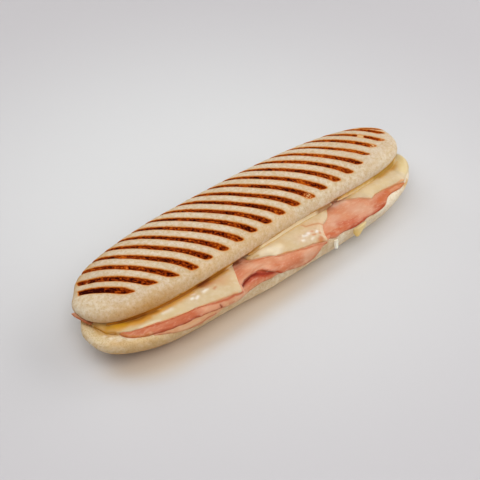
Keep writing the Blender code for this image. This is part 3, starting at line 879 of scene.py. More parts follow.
def hamWave(plan):
    # Slow waves of a thin moist slice
    return waves["hamUp"] + noiseSum(flatPoints(plan), waves["ham"])


def cheeseWave(plan):
    # Melted cheese sinks and swells slowly, and blisters where it bubbled
    flat = flatPoints(plan)
    blistered = sum(share * fadeFrom(plan, line, width) for line, width, share in waves["blistered"])
    return noiseSum(flat, waves["cheese"]) + blistered * noiseSum(flat, waves["blister"])


def noWave(plan):
    # Zero, for the small pieces
    return np.zeros(plan.shape[:-1])


# What a slice has unless its own settings say something else
usualSlice = {
    "columns": 170,
    "rows": 100,
    "pull": 4.2,  # how strongly the rows crowd towards the front edge
    "edge": (0.0008, 0.003, 0.55),  # lengths of the rounded step and the soft slope, and the step's share
    "ragged": 0.0002,
    "raggedCell": 0.005,
    "arched": False,  # whether its underside stands free
    "base": bedLift,
    "lay": drape,
}


def layeredSlice(name, settings, wave):
    # A slice that is full within a few millimetres of its outline: a rounded step of a share of its
    # thickness, sqrt(1 - (1 - t)^2), then a soft slope, 1 - (1 - t)^2
    settings = {**usualSlice, **settings}
    u = (crowdedEnds(settings["columns"]) + 1) / 2
    v = crowdedStart(settings["rows"], settings["pull"])
    plan = coonsPatch(settings, u, v)
    front, *sides = [np.linalg.norm(plan - side, axis=-1) for side in (plan[:, :1], plan[:1], plan[-1:])]
    step, slope, share = settings["edge"]
    full = 1
    for rim in (front, *sides):
        rounded = np.sqrt(1 - (1 - np.clip(rim / step, 0, 1)) ** 2)
        full = full * (share * rounded + (1 - share) * (1 - (1 - np.clip(rim / slope, 0, 1)) ** 2))
    full[:, -1] = 0
    wander = (settings["ragged"], settings["raggedCell"], settings["seed"])
    ragged = noiseSum(flatPoints(plan), [wander])
    plan = plan - np.stack((0 * front, ragged * np.exp(-front / filling["ragReach"])), -1)
    lift = settings["lift"](plan) + wave(plan)
    # the outline of a slice that isn't arched sinks a little into what is below it
    base = lift if settings["arched"] else settings["base"](plan) - filling["sink"]
    upper = lift + settings["thickness"] * full
    outline = np.ones(full.shape, bool)
    outline[1:-1, 1:-1] = False
    upper[outline] = base[outline]
    values = {"rim": front / millimetre, "paint": painted(plan, settings["strokes"])}
    lay = settings["lay"]
    return sliceBody(name, lay(plan, upper), lay(plan, np.minimum(base, upper)), values)


hamSlices = {
    "hamLeft": {
        "node": "ham_left",
        "seed": 61,
        "thickness": 0.0013,
        "lift": hamLift,
        "front": [
            (-114.8, -8.0), (-114.3, -11.6), (-112.4, -15.2), (-108.5, -18.6), (-103, -21.5), (-96.5, -23.6),
            (-90, -25.2), (-82, -26.7), (-74, -27.3), (-66, -28.4), (-58, -29.3), (-50, -30.5),
            (-43, -31.0), (-37.5, -30.0),
        ],
        "back": [(-108, 10), (-96, 18), (-72, 25), (-46, 28.5), (-14.2, 28)],
        "strokes": [
            ([(-112, -12), (-92, -22), (-74, -25)], 6, 0.85, "c66a44"),
            ([(-100, -19.5), (-84, -23.6)], 1.6, 0.4, "d08664"),
            ([(-92, -22.8), (-74, -25.6)], 1.5, 0.7, "c0603a"),
            ([(-66, -26.5), (-40, -28.6)], 2.6, 0.85, "dc9e78"),
            ([(-52, -29.6), (-42, -30.4)], 1.4, 0.6, "dcae7e"),
            ([(-114.8, -8.0), (-113.6, -13.2), (-108.5, -18.8), (-101, -22.6)], 0.9, 0.8, "c67a34"),
            # painted contact shade: a thin dark red line on the ham just in front of the cheese's front edge
            (
                [(-101, -16.6), (-90.6, -20.0), (-69.7, -23.8), (-64, -25.4), (-54, -27.2), (-38, -28.4)],
                0.5, 0.85, "b9501f",
            ),
            (
                [(-101, -22.6), (-92.5, -24.8), (-86, -26.0), (-79, -27.0), (-71.5, -27.6)],
                0.7, 0.95, "a03a1a",
            ),
            ([(-71, -27.8), (-64, -28.8), (-56, -29.6)], 0.6, 0.8, "bd5a2c"),
            ([(-56.0, -28.4), (-55.4, -29.6)], 0.7, 1.0, "98380f"),
            ([(-50, -29.2), (-46, -29.9)], 0.5, 0.6, "cc6a3a"),
        ],
    },
    "hamLeftLower": {
        "node": "ham_left_lower",
        "seed": 62,
        "thickness": 0.0009,
        "lift": bedLift,
        "rows": 44,
        "pull": 3.0,
        "front": [
            (-101.5, -22.6), (-94.5, -25.6), (-87, -28.8), (-81, -30.6), (-75.5, -32.0), (-71.5, -32.6),
            (-67.5, -32.2), (-62, -32.4), (-57, -31.8), (-52, -30.6),
        ],
        "back": [(-98, -18.5), (-58, -20)],
        "strokes": [
            ([(-90, -26), (-74, -30), (-60, -30)], 6, 0.9, "dea476"),
            ([(-86, -27.4), (-80, -28.8), (-72, -29.4)], 0.8, 0.4, "ecc9a0"),
            ([(-80, -30.4), (-70, -31.0), (-66.5, -30.4), (-60, -30.8)], 0.5, 0.8, "bf5f36"),
            ([(-94, -25.8), (-87, -28.8), (-81, -30.6), (-75.5, -32.0), (-70, -32.6)], 0.6, 0.75, "c47c40"),
        ],
    },
    "hamMiddle": {
        "node": "ham_middle",
        "seed": 63,
        "thickness": 0.0013,
        "lift": hamMiddleLift,
        "arched": True,
        "ragged": 0.0001,
        "front": [
            (-38.2, -27.4), (-36, -25.6), (-32, -24.6), (-25, -24.0), (-20.5, -25.0), (-17, -26.2),
            (-13, -27.6), (-10, -29.0), (-7.5, -30.3), (-1.5, -32.0), (4, -33.6), (9.5, -34.8),
            (16, -35.0), (20.5, -34.2), (23.5, -32.8), (25.5, -31.6), (28.5, -30.4), (32.5, -30.2),
        ],
        "back": [(-13.3, 29), (8, 28.0), (28, 29.2), (46, 28)],
        "right": [(38, -18)],
        "strokes": [
            ([(-28, -12), (-31, -18)], 3.2, 0.5, "c96f50"),
            ([(-21, -15), (-15.5, -21.6)], 3.5, 0.5, "e2b394"),
            ([(-5.5, -25.4), (-2, -24)], 2.2, 0.45, "e2b394"),
            ([(-8, -28), (2, -30), (8, -30.4)], 3.4, 0.7, "cb6e44"),
            ([(14, -28.4), (20, -28.8)], 3.0, 0.6, "e4b090"),
            ([(4, -32), (14, -32.6)], 1.0, 0.5, "e0a682"),
            ([(-7.5, -30.3), (-1.5, -32), (4, -33.6), (12, -34.8)], 0.7, 0.8, "c87440"),
            ([(12, -34.8), (18, -34.6), (22, -33.4), (25.5, -31.6)], 1.1, 0.9, "bd5a2c"),
            # painted contact shade: a thin dark red line on the ham just in front of the cheese's front edge
            (
                [
                    (-20, -12.2), (-9, -17.2), (0.6, -21.9), (10.6, -24.8), (16.1, -26.6),
                    (22.6, -27.6), (32, -29.6),
                ],
                0.5, 0.85, "c2622e",
            ),
            # painted light and shade: a dark line along the arch's front edge where it shades the hollow,
            # then red along its right part like the hollow's lit inside
            ([(-38, -27.2), (-32, -24.6), (-25, -24.0), (-21, -24.9)], 0.7, 0.95, "741a04"),
            ([(-20, -25.2), (-17, -26.2), (-10, -29.0), (-7.5, -30.3)], 0.8, 0.95, "bc400c"),
            # painted shadow: dark brown under the top half's edge, in the gap between the cheeses
            ([(-30, -7), (-24, -8.5)], 2.6, 0.85, "8a4626"),
        ],
    },
    "hamMiddleLower": {
        "node": "ham_middle_lower",
        "seed": 64,
        "thickness": 0.0009,
        "lift": hamMiddleLowerLift,
        "rows": 60,
        "pull": 2.0,
        "front": [
            (-54, -31.0), (-50, -31.6), (-45, -32.2), (-39.5, -32.0), (-34, -30.6), (-30.5, -30.0),
            (-26.5, -29.8), (-22, -29.8), (-17, -30.4), (-12.5, -30.8), (-7.5, -30.6),
        ],
        "back": [(-52, -22), (-8, -21)],
        "strokes": [
            ([(-52, -29), (-37, -30)], 3, 0.9, "dcae86"),
            # painted light and shade in the hollow under the arch: a deep red inside for the light caught
            # between the slices, and dark lines where the arch's edge shades it
            ([(-34, -25.5), (-23, -25.4), (-12, -27.6)], 2.4, 1.0, "bf3c10"),
            ([(-37, -26.6), (-33, -25.4), (-28, -24.7), (-23, -25.2)], 1.0, 0.9, "6a1200"),
            ([(-23, -25.4), (-17, -26.8), (-11, -28.4)], 0.7, 0.8, "8e2606"),
            ([(-36, -28.5), (-30, -28.2), (-20, -28.4), (-12, -29.7)], 0.9, 0.8, "cd784e"),
            ([(-34, -30.2), (-28, -29.6), (-22, -29.6), (-14, -30.4)], 0.5, 0.8, "c67834"),
        ],
    },
    "hamRight": {
        "node": "ham_right",
        "seed": 65,
        "thickness": 0.0013,
        "lift": hamLift,
        "front": [
            (30.5, -29.8), (33, -29.6), (35.5, -28.8), (37.5, -29.6), (40, -30.2), (44.5, -29.8), (48, -30),
            (56.5, -30.6), (63, -30.4), (69.9, -29.9), (79.6, -29.9), (86.5, -28.4), (90, -26.6),
            (93, -24.8), (98, -23.6), (104.8, -23.6), (110, -22.4), (113, -21.2),
        ],
        "back": [(61, 28), (78, 25.5), (92, 20.5), (101, 16)],
        "left": [(33, -24), (38, -17.6), (45, -13.0), (52, -6.8), (56, 6)],
        "strokes": [
            ([(46, -22), (52, -17)], 3.6, 0.55, "e2b296"),
            ([(68, -20), (74, -26)], 5.5, 0.6, "deae92"),
            ([(49, -25), (56, -28), (60, -28.6)], 3.0, 0.7, "c4502f"),
            ([(36, -27), (44, -28), (50, -28)], 2.4, 0.85, "c86236"),
            ([(79, -27.4), (88, -24.4), (97, -22)], 3.4, 0.8, "c45a30"),
            ([(86, -26.4), (92, -23.4)], 3.4, 0.9, "cb6e42"),
            ([(98, -23.6), (101.5, -21), (108, -21.4)], 2.4, 0.88, "d07e4c"),
            ([(99, -23), (103, -23)], 1.6, 0.5, "dfa17c"),
            ([(52, -30), (58, -30.4), (68, -29.7), (78, -29.6), (85, -28.4)], 1.1, 0.95, "b44216"),
            ([(94, -24.2), (99, -23.4), (104.5, -23.4), (110, -22.2)], 0.7, 0.7, "c4713a"),
            ([(109, -22.4), (113, -21.2)], 1.6, 0.8, "cb7c34"),
            # painted contact shade: a thin red line on the ham just in front of the cheese's front edge
            (
                [
                    (61, -5), (67.5, -7.4), (77.5, -16), (83, -19.6), (87, -19), (100.5, -20.6),
                    (112, -21.4),
                ],
                0.5, 0.4, "c06a3c",
            ),
            # painted shadow: a dark reddish spot at the corner under the top half's edge
            ([(56, -3.6), (60, -5)], 1.4, 0.6, "a85a38"),
            # painted light: a lighter tint where the ham lies in the shade of the top half's overhang
            ([(61, -8), (68, -10.4)], 2.4, 0.9, "ffcfb0"),
        ],
    },
    "hamScrap": {
        "node": "ham_scrap",
        "seed": 66,
        "thickness": 0.0009,
        "lift": onCheese,
        "arched": True,
        "lay": flatLay,
        "columns": 70,
        "rows": 34,
        "pull": 2.0,
        "front": [(-125.2, 21.5), (-125.4, 18.0), (-124.8, 14.0), (-124.0, 9.5), (-123.2, 6.5)],
        "back": [(-119.0, 20.0), (-117.2, 16.0), (-117.8, 11.5), (-119.4, 7.5)],
        "strokes": [
            ([(-123, 20), (-121, 13)], 5, 0.8, "dba27c"),
            ([(-125.3, 20), (-125, 15), (-124, 10), (-123.4, 6)], 0.8, 0.9, "a55c34"),
            ([(-122.5, 8), (-121, 6)], 2.0, 0.9, "8f4a1c"),
        ],
    },
}

cheeseSlices = {
    "cheeseLeft": {
        "node": "cheese_left",
        "seed": 71,
        "thickness": 0.0018,
        "edge": (0.0005, 0.006, 0.3),
        "base": hamLift,
        "lift": cheeseLeftLift,
        "front": [
            (-121.5, 7), (-120.8, 3), (-120.4, -0.4), (-118.9, -4), (-116.8, -6.9), (-113.8, -9.2),
            (-110.5, -11.6), (-106.8, -13.4), (-102, -15.4), (-94, -17.8), (-85.6, -20.2), (-79, -21.9),
            (-70.1, -23.2), (-64, -24.9), (-56.5, -26.3), (-49, -27.1), (-42, -27.6), (-38.6, -27.8),
        ],
        "back": [(-113, 15), (-96, 20.5), (-70, 26), (-40, 29), (-5.6, 28.5)],
        "left": [(-118.5, 11.5)],
        "strokes": [
            ([(-118, -4), (-100, -12), (-80, -16)], 7, 0.5, "dcc390"),
            ([(-40, -15), (-36, -12)], 7, 0.5, "dcb384"),
            ([(-48, -13), (-44, -16)], 4.0, 0.45, "d0905e"),
            ([(-49, -12.2), (-53, -13.4)], 3.0, 0.7, "c4763e"),
            ([(-51.2, -19.2), (-50, -18.6)], 1.1, 0.7, "c77a4a"),
            # painted highlight: a whitish glint on the melted cheese
            ([(-87, -15), (-82, -15.4)], 1.4, 0.7, "f4ead8"),
            ([(-104, -14), (-92, -17.6)], 1.0, 0.5, "efe2c4"),
            # painted contact shade: thin orange lines along the cheese's own front edge, where it meets the
            # ham
            (
                [(-102, -15.4), (-94, -17.8), (-85.6, -20.2), (-79, -21.9), (-70.1, -23.2)],
                0.5, 0.7, "ecbc82",
            ),
            (
                [(-70.1, -23.2), (-64, -24.9), (-56.5, -26.3), (-49, -27.1), (-42, -27.6)],
                0.45, 0.7, "e8a468",
            ),
            # painted highlights: small white glints on the blistered cheese
            ([(-64.4, -13.6), (-63.2, -14.6)], 1.0, 0.8, "faf3ea"),
            ([(-67.4, -16.8), (-66, -17)], 0.9, 0.8, "faf3ea"),
            ([(-64.6, -18.6), (-63, -18)], 1.0, 0.85, "faf3ea"),
            ([(-58, -17), (-56.6, -16.6)], 1.1, 0.8, "faf3ea"),
            ([(-55.6, -16.4), (-54.4, -16.8)], 0.8, 0.7, "faf3ea"),
            ([(-121, 2.4), (-117, -3), (-112, -6.4)], 3.0, 0.5, "d49c3c"),
            ([(-112, -7), (-104, -10), (-96, -12)], 2.2, 0.7, "d08c1c"),
            # golden butter, made lighter as painted light where it lies in the shade of the top half's end
            ([(-120.4, 7), (-117.6, 2.4), (-115, -0.8), (-112, -3)], 2.6, 0.6, "f0bc58"),
            ([(-121.4, 6), (-120.6, 0), (-118.8, -4), (-116, -7.4)], 0.9, 0.9, "b87818"),
            (jointPart(-116, -62, 1.4), 2.4, 0.85, "de9e30"),
            (jointPart(-62, -30, 0.8), 1.4, 0.8, "d4983c"),
            # browned butter under the top half's edge, darkened as painted shade of the gap there
            (jointPart(-110, -88, 0.7), 1.6, 0.85, "a05c08"),
            (jointPart(-124, -106, 1.6), 2.4, 0.9, "cf951c"),
            (jointPart(-88, -30), 0.9, 0.8, "b4741a"),
            (jointPart(-57, -50, 0.6), 1.8, 0.8, "a2502a"),
        ],
    },
    "cheeseMiddle": {
        "node": "cheese_middle",
        "seed": 72,
        "thickness": 0.0024,
        "edge": (0.0005, 0.006, 0.3),
        "base": hamLift,
        "lift": onHam,
        "front": [
            (-17.4, -7.5), (-17.2, -11.0), (-14, -13.2), (-8.5, -16.3), (-4, -19), (0.6, -21.2),
            (5.1, -22.3), (10.6, -24.2), (16.1, -26), (22.6, -27), (28, -28.3), (32.6, -29.2),
        ],
        "back": [(-1.5, 28.5), (18, 29.2), (40, 29), (60, 27)],
        "right": [
            (34.4, -25.6), (38.9, -19.6), (42.4, -17.4), (47.5, -15), (53, -9.4), (57, -4.4),
            (60.5, 6),
        ],
        "strokes": [
            ([(-8, -13), (3, -17), (-1, -20)], 3.4, 0.7, "f6e8cc"),
            ([(-18, -12), (-14, -13)], 1.6, 0.5, "f2e4cc"),
            ([(34, -16), (40, -20), (34, -26)], 4.6, 0.6, "deb188"),
            ([(20, -20), (30, -22)], 5.0, 0.45, "e6c6ac"),
            ([(29, -11), (29.5, -14), (34, -15.0), (37.5, -16.9), (41, -19.2)], 0.7, 0.85, "ca8450"),
            ([(27, -22.6), (28, -23)], 0.9, 0.8, "d48a5c"),
            ([(31.5, -24.2), (32.2, -23.4)], 0.8, 0.8, "cf8150"),
            ([(27.6, -27.6), (29.6, -26.8)], 1.2, 0.85, "cc7c46"),
            ([(28.3, -19.6), (29.3, -19.8)], 0.8, 0.7, "d68f64"),
            # painted highlights: small white glints on the blistered cheese
            ([(22.5, -19.8), (23.6, -20)], 1.4, 0.8, "fbf4ec"),
            ([(25.6, -19.2), (26.0, -19.8)], 1.0, 0.8, "fbf4ec"),
            ([(18.6, -22.2), (19.6, -22.4)], 0.9, 0.7, "fbf4ec"),
            ([(30.6, -22), (31.6, -21.6)], 0.8, 0.8, "fbf4ec"),
            ([(24, -24.8), (25.4, -24.6)], 0.8, 0.6, "faf0e4"),
            ([(26, -28.6), (30, -29)], 1.2, 0.85, "c5742c"),
            # painted contact shade: a thin orange line along the cheese's own front edge, where it meets the
            # ham
            (
                [
                    (-1, -20.5), (0.6, -21.2), (5.1, -22.3), (10.6, -24.2), (16.1, -26), (22.6, -27),
                    (28, -28.3),
                ],
                0.4, 0.7, "e09458",
            ),
            (jointPart(-28, 60, 0.6), 0.8, 0.6, "d9a850"),
            ([(-18.4, -9), (-16.5, -12.2)], 1.3, 0.8, "b9802c"),
            ([(-14, -12.6), (-11, -13.4)], 0.8, 0.6, "c0892e"),
        ],
    },
    "cheeseRight": {
        "node": "cheese_right",
        "seed": 73,
        "thickness": 0.0026,
        "edge": (0.0005, 0.006, 0.3),
        "base": bedLift,
        "lift": cheeseRightLift,
        "front": [
            (61.5, -4.2), (66.5, -7.4), (70, -9.2), (75, -12.6), (78, -15.2), (80.6, -18.2), (82.2, -19.7),
            (84.6, -19.8), (87.4, -18.7), (92.6, -19.0), (101, -19.7), (106.5, -20.5), (112, -20.2),
            (118.6, -16.8), (126, -12.0), (131, -6.0), (132.6, 1.5),
        ],
        "back": [(61.5, 26.5), (82, 24), (101, 19.5), (117, 15), (127, 9)],
        "left": [(61.2, 2)],
        "strokes": [
            ([(120, -14), (126, -4)], 4.5, 0.6, "e2ca84"),
            ([(84, -14), (100, -16)], 4.0, 0.4, "e6cf9e"),
            # painted contact shade: thin orange lines along the cheese's own front edge, where it meets the
            # ham
            (
                [
                    (61.5, -4.2), (66.5, -7.4), (70, -9.2), (75, -12.6), (78, -15.2), (80.6, -18.2),
                    (82.2, -19.7),
                ],
                0.45, 0.8, "eeba8c",
            ),
            (
                [(84.6, -19.8), (87.4, -18.7), (92.6, -19), (101, -19.7), (106.5, -20.5), (112, -20.2)],
                0.45, 0.8, "e0985e",
            ),
            (jointPart(60, 122, 0.6), 0.8, 0.6, "d9a850"),
            (jointPart(98, 120, 1.3), 2.0, 0.8, "c08a24"),
        ],
    },
    "cheeseDrip": {
        "node": "cheese_drip",
        "seed": 74,
        "thickness": 0.0016,
        "lift": bedLift,
        "columns": 60,
        "rows": 40,
        "pull": 1.5,
        "front": [(55.2, -34.6), (57.9, -38.4), (62.8, -35.4), (66.5, -33.0)],
        "back": [(54.8, -31.2), (60.5, -31.2), (66.4, -31.0)],
        "strokes": [
            ([(56, -34), (60, -35)], 3, 0.9, "eac26a"),
            ([(60, -33), (65, -32)], 2, 0.6, "f0d898"),
        ],
    },
    "cheeseShred": {
        "node": "cheese_shred",
        "seed": 75,
        "thickness": 0.0015,
        "lift": bedLift,
        "columns": 40,
        "rows": 40,
        "pull": 1.5,
        "front": [(38.3, -37.4), (40.9, -38.4)],
        "back": [(38.0, -31.0), (41.2, -31.2)],
        "strokes": [([(39.5, -34), (39.5, -38)], 4, 1.0, "fffae8")],
    },
}


# Butter that ran out along the joint


seamForm = {
    "stations": 360,
    "around": 24,
    "edgeTurn": 0.6,  # radians round the top's soft edge at which a seam starts
    "wander": (0.0002, 0.006),  # height and cell
    "sink": 0.0004,  # how far its foot reaches into the cheese
    "leastHeight": 0.0002,
    "outerSwell": 0.0001,
    "innerSwell": 0.0016,
    "meeting": (-0.028, 0.061),  # x where the slices of cheese meet
}

seams = {
    "butterSeamLeft": {
        "from": -123.0,
        "to": -34.0,
        "out": 0.0001,
        "seed": 91,
        "strokes": [
            (jointPart(-124, -34), 4.0, 0.95, "ae6a08"),
            # browned butter, darkened as painted shade of the gap under the top half's edge
            (jointPart(-110, -94), 3.0, 0.8, "8a4c0c"),
            (jointPart(-57, -49), 3.0, 0.85, "6e2c0c"),
            (jointPart(-47, -34), 3.0, 0.7, "a0661a"),
        ],
    },
    "butterSeamMiddle": {
        "from": -22.0,
        "to": 52.0,
        "out": 0.0008,
        "seed": 92,
        "strokes": [
            (jointPart(-10, 55), 3.0, 0.75, "fdeac4"),
            (jointPart(-24, -8), 3.0, 0.75, "b07a20"),
            (jointPart(46, 55), 2.5, 0.85, "a06830"),
        ],
    },
    "butterSeamRight": {
        "from": 57.0,
        "to": 119.0,
        "out": 0.0005,
        "seed": 93,
        "strokes": [
            (jointPart(64, 122), 3.0, 0.4, "ecc878"),
            # browned butter, darker at its start as painted shade of the corner under the top half's edge
            (jointPart(56, 62), 2.4, 0.35, "a4681c"),
            (jointPart(96, 120), 3.0, 0.8, "bb8a1c"),
        ],
    },
}


def cheeseTop(plan):
    # The height of the melted cheese at plan points, as an amount above the cut face
    left = cheeseLeftLift(plan) + cheeseSlices["cheeseLeft"]["thickness"]
    middle = onHam(plan) + cheeseSlices["cheeseMiddle"]["thickness"]
    right = cheeseRightLift(plan) + cheeseSlices["cheeseRight"]["thickness"]
    return np.select([plan[..., 0] < x for x in seamForm["meeting"]], (left, middle), right)


def butterSeam(name, seam):
    # A fillet along the top half's front edge: its outer side falls from the soft edge to the cheese, its
    # inner side is a shallow curve, and both ends taper off
    u = np.linspace(0, 1, seamForm["stations"])[:, None]
    s = (seam["from"] + (seam["to"] - seam["from"]) * u) * millimetre / roll["halfLength"]
    turn = np.full((1, 1), seamForm["edgeTurn"])
    edgePoint = placedTop(topEdge(s, -halfWidth(s, "top", "Front"), turn))[:, 0]
    foot = edgePoint.copy()
    foot[:, 1] -= seam["out"] + noiseSum(flatPoints(edgePoint[:, :2]), [(*seamForm["wander"], seam["seed"])])
    foot[:, 2] = roll["bottomHeight"] + cheeseTop(foot[:, :2] - roll["bottomPlace"]) - seamForm["sink"]
    foot[:, 2] = np.minimum(foot[:, 2], edgePoint[:, 2] - seamForm["leastHeight"])
    turn = np.linspace(0, 2 * math.pi, seamForm["around"] + 1)[None, :-1]
    share = ((1 - np.cos(turn)) / 2)[..., None]
    swell = np.where(turn < math.pi, seamForm["outerSwell"], seamForm["innerSwell"])
    outward = (swell * np.sin(turn))[..., None]
    rings = edgePoint[:, None] * (1 - share) + foot[:, None] * share - outward * (0, 1, 0)
    taper = (1 - np.abs(2 * u - 1) ** 8)[..., None] ** 0.5
    middle = rings.mean(axis=1, keepdims=True)
    rings = middle + (rings - middle) * taper
    values = {
        "climb": 1 - share[..., 0] + np.zeros(rings.shape[:2]),
        "paint": painted(rings[..., :2] - roll["bottomPlace"], seam["strokes"]),
    }
    return ringedBody(name, rings, values)


# Materials


def lumps(size):
    # A noise's scale from the real size of its lumps in millimetres: 1 / metres
    return 1 / (size * millimetre)


def grillBurnt(add, place, body):
    # Marks burnt into the crust: nearly black, with orange-brown blotches of about a millimetre and an
    # orange halo. Their edges wander by a few tenths of a millimetre
    edge = add("noise", place, lumps(1.6), 3)
    wander = add("productSum", edge, 0.9, -0.45)
    inward = add("sum", add("attribute", attribute_name="charDistance"), wander)
    body = add("mix", add("product", add("ramp", inward, 2.4, 0.3), 0.4), body, "cc9e5a")
    body = add("mix", add("product", add("ramp", inward, 0.85, 0.05), 0.95), body, "d0781a")
    turned = add("turned", place, (0, 0, -marks["turn"]), (1.4, 1, 1), vector_type="TEXTURE")
    blotch = add("noise", turned, lumps(1.2), 3)
    patch = add("noise", place, lumps(8), 2)
    light = add("attribute", attribute_name="lightPress")
    glow = add("productSum", light, 0.25, add("productSum", patch, 0.5, blotch))
    # the press was a little weaker towards the right end
    glow = add("productSum", add("ramp", add("parts", place), 0.0, 0.10), 0.06, glow)
    inside = add("ramp", inward, -0.15, -0.75)
    burnt = add("mix", inside, "943404", "320300")
    burnt = add("mix", add("ramp", glow, 0.62, 0.82), burnt, "862c03")
    burnt = add("mix", add("product", add("ramp", glow, 0.80, 1.0), inside), burnt, "c05c10")
    # a light press scorched only the high spots
    missed = add("ramp", add("productSum", light, 0.8, blotch), 1.0, 1.25)
    burnt = add("mix", missed, burnt, "d8b07a")
    return add("mix", add("ramp", inward, 0.15, -0.3), body, burnt)


def bakedCrust(add, place, bottom):
    # Soft wheat crust, baked pale and then pressed on a hot grill: matt and finely mottled, with dark
    # caramelised marks that have orange halos. A cut face shows open cream crumb
    slow = add("noise", place, lumps(20), 3)
    quick = add("noise", place, lumps(2.6), 4)
    fine = add("noise", place, lumps(0.8), 2)
    mottle = add("noise", place, lumps(2.2), 3)
    cut = add("attribute", attribute_name="cut")
    body = add("mix", add("ramp", slow, 0.35, 0.7), "ebddc6", "e5d3b8")
    body = add("tint", add("ramp", mottle, 0.65, 0.35), body, "f4ebda")
    if bottom:
        body = overPaint(add, body)
        # the low wall is golden at the left; towards the right it is paler and lighter than the crust above
        # it, painted bounce light from the board over the shade low on the wall
        east = add("parts", place)
        low = add("mix", add("ramp", east, -0.10, -0.035), "d8ac68", "fae4c0")
        low = add("mix", add("ramp", east, 0.0, 0.05), low, "ffeccc")
        wall = add("attribute", attribute_name="wallShare")
        body = add("mix", add("ramp", wall, 0.85, 0.1), body, low)
        patches = add("ramp", add("noise", place, lumps(7), 2), 0.4, 0.65)
        body = add("tint", patches, body, "f6efe4")
        crumb = overPaint(add, add("mix", add("ramp", fine, 0.35, 0.65), "ecdcc0", "dfcba6"))
        body = add("mix", add("ramp", add("sum", cut, quick), 0.85, 1.25), body, crumb)
    else:
        body = add("mix", add("attribute", attribute_name="browned"), body, "c08c42")
        body = add("tint", add("attribute", attribute_name="toasted"), body, "f6f4f7")
        body = add("mix", cut, overPaint(add, body), "e6d2a4")
    body = add("tint", add("ramp", quick, 0.35, 0.75), body, "f8f1e8")
    body = add("tint", add("ramp", fine, 0.50, 0.75), body, "ece4d6")
    if not bottom:
        # butter soaked the lowest edge golden, darker in drops
        drops = add("ramp", add("noise", place, lumps(5), 3), 0.5, 0.68)
        golden = add("mix", drops, "cf9a48", "a8742a")
        body = add("mix", add("attribute", attribute_name="soaked"), body, golden)
        body = grillBurnt(add, place, body)
    return {
        "Base Color": body,
        "Normal": add("bump", add("sum", quick, fine), 0.2, 0.0003),
        "Roughness": 0.78,
        "IOR": 1.45,
        "Specular IOR Level": 0.03,
        "Subsurface Weight": 0.06,
        "Subsurface Radius": (1.0, 0.6, 0.3),
        "Subsurface Scale": 0.0015,
    }


def cookedHam(add, place):
    # Pressed cooked ham, sliced thin and warmed: moist pink with a fine grain of muscle fibres and pale
    # fat, darker and redder along its cut edge
    turned = add("turned", place, (0, 0, 0.5), (0.4, 1, 1))
    grain = add("noise", turned, lumps(1.8), 4)
    cloud = add("noise", place, lumps(9), 3)
    fleck = add("noise", turned, lumps(0.9), 2)
    body = overPaint(add, add("mix", add("ramp", cloud, 0.35, 0.65), "d98c64", "dc9a78"))
    edge = add("productSum", grain, 0.6, add("attribute", attribute_name="rim"))
    body = add("mix", add("product", add("ramp", edge, 0.9, 0.4), 0.5), body, "bd6238")
    # the grain shows less under strong paint
    paint = add("attribute", output="Alpha", attribute_name="paint")
    plain = add("product", add("ramp", paint, 1.0, 0.85), 0.3)
    body = add("mix", add("product", add("ramp", grain, 0.44, 0.70), plain), body, "e8bfa0")
    body = add("mix", add("product", add("ramp", fleck, 0.58, 0.80), 0.2), body, "efcdb6")
    return {
        "Base Color": body,
        "Normal": add("bump", grain, 0.15, 0.0002),
        "Roughness": 0.5,
        "IOR": 1.42,
        "Specular IOR Level": 0.25,
        "Subsurface Weight": 0.15,
        "Subsurface Radius": (1.0, 0.35, 0.2),
        "Subsurface Scale": 0.0015,
    }


def meltedCheese(add, place):
    # Mild sliced cheese, melted and set: creamy, slightly see-through and glossy with oil, golden where it
    # ran against the crust
    cloud = add("noise", place, lumps(14), 3)
    ripple = add("noise", place, lumps(2.8), 3)
    body = overPaint(add, add("mix", add("ramp", cloud, 0.35, 0.68), "dac29a", "d7bb8e"))
    # pale ripples, except where it browned
    plain = add("ramp", add("attribute", output="Alpha", attribute_name="paint"), 1.0, 0.2)
    pale = add("product", add("ramp", ripple, 0.42, 0.75), plain)
    return {
        "Base Color": add("mix", add("product", pale, 0.22), body, "ebdcc4"),
        "Normal": add("bump", ripple, 0.2, 0.0003),
        "Roughness": 0.35,
        "IOR": 1.45,
        "Specular IOR Level": 0.35,
        "Subsurface Weight": 0.2,
        "Subsurface Radius": (1.0, 0.8, 0.45),
        "Subsurface Scale": 0.002,
    }


def brownedButter(add, place):
    # Butter and cheese that ran out and browned on the grill: creamy at the foot, golden and darker where
    # it climbed the crust
    cloud = add("noise", place, lumps(6), 3)
    quick = add("noise", place, lumps(1.5), 3)
    climb = add("productSum", quick, 0.5, add("attribute", attribute_name="climb"))
    golden = add("mix", add("ramp", cloud, 0.35, 0.65), "d6a352", "bd842c")
    return {
        "Base Color": overPaint(add, add("mix", add("ramp", climb, 0.6, 1.1), "f4dcae", golden)),
        "Normal": add("bump", quick, 0.3, 0.0003),
        "Roughness": 0.6,
        "IOR": 1.46,
        "Specular IOR Level": 0.2,
        "Subsurface Weight": 0.15,
        "Subsurface Radius": (1.0, 0.7, 0.2),
        "Subsurface Scale": 0.001,
    }


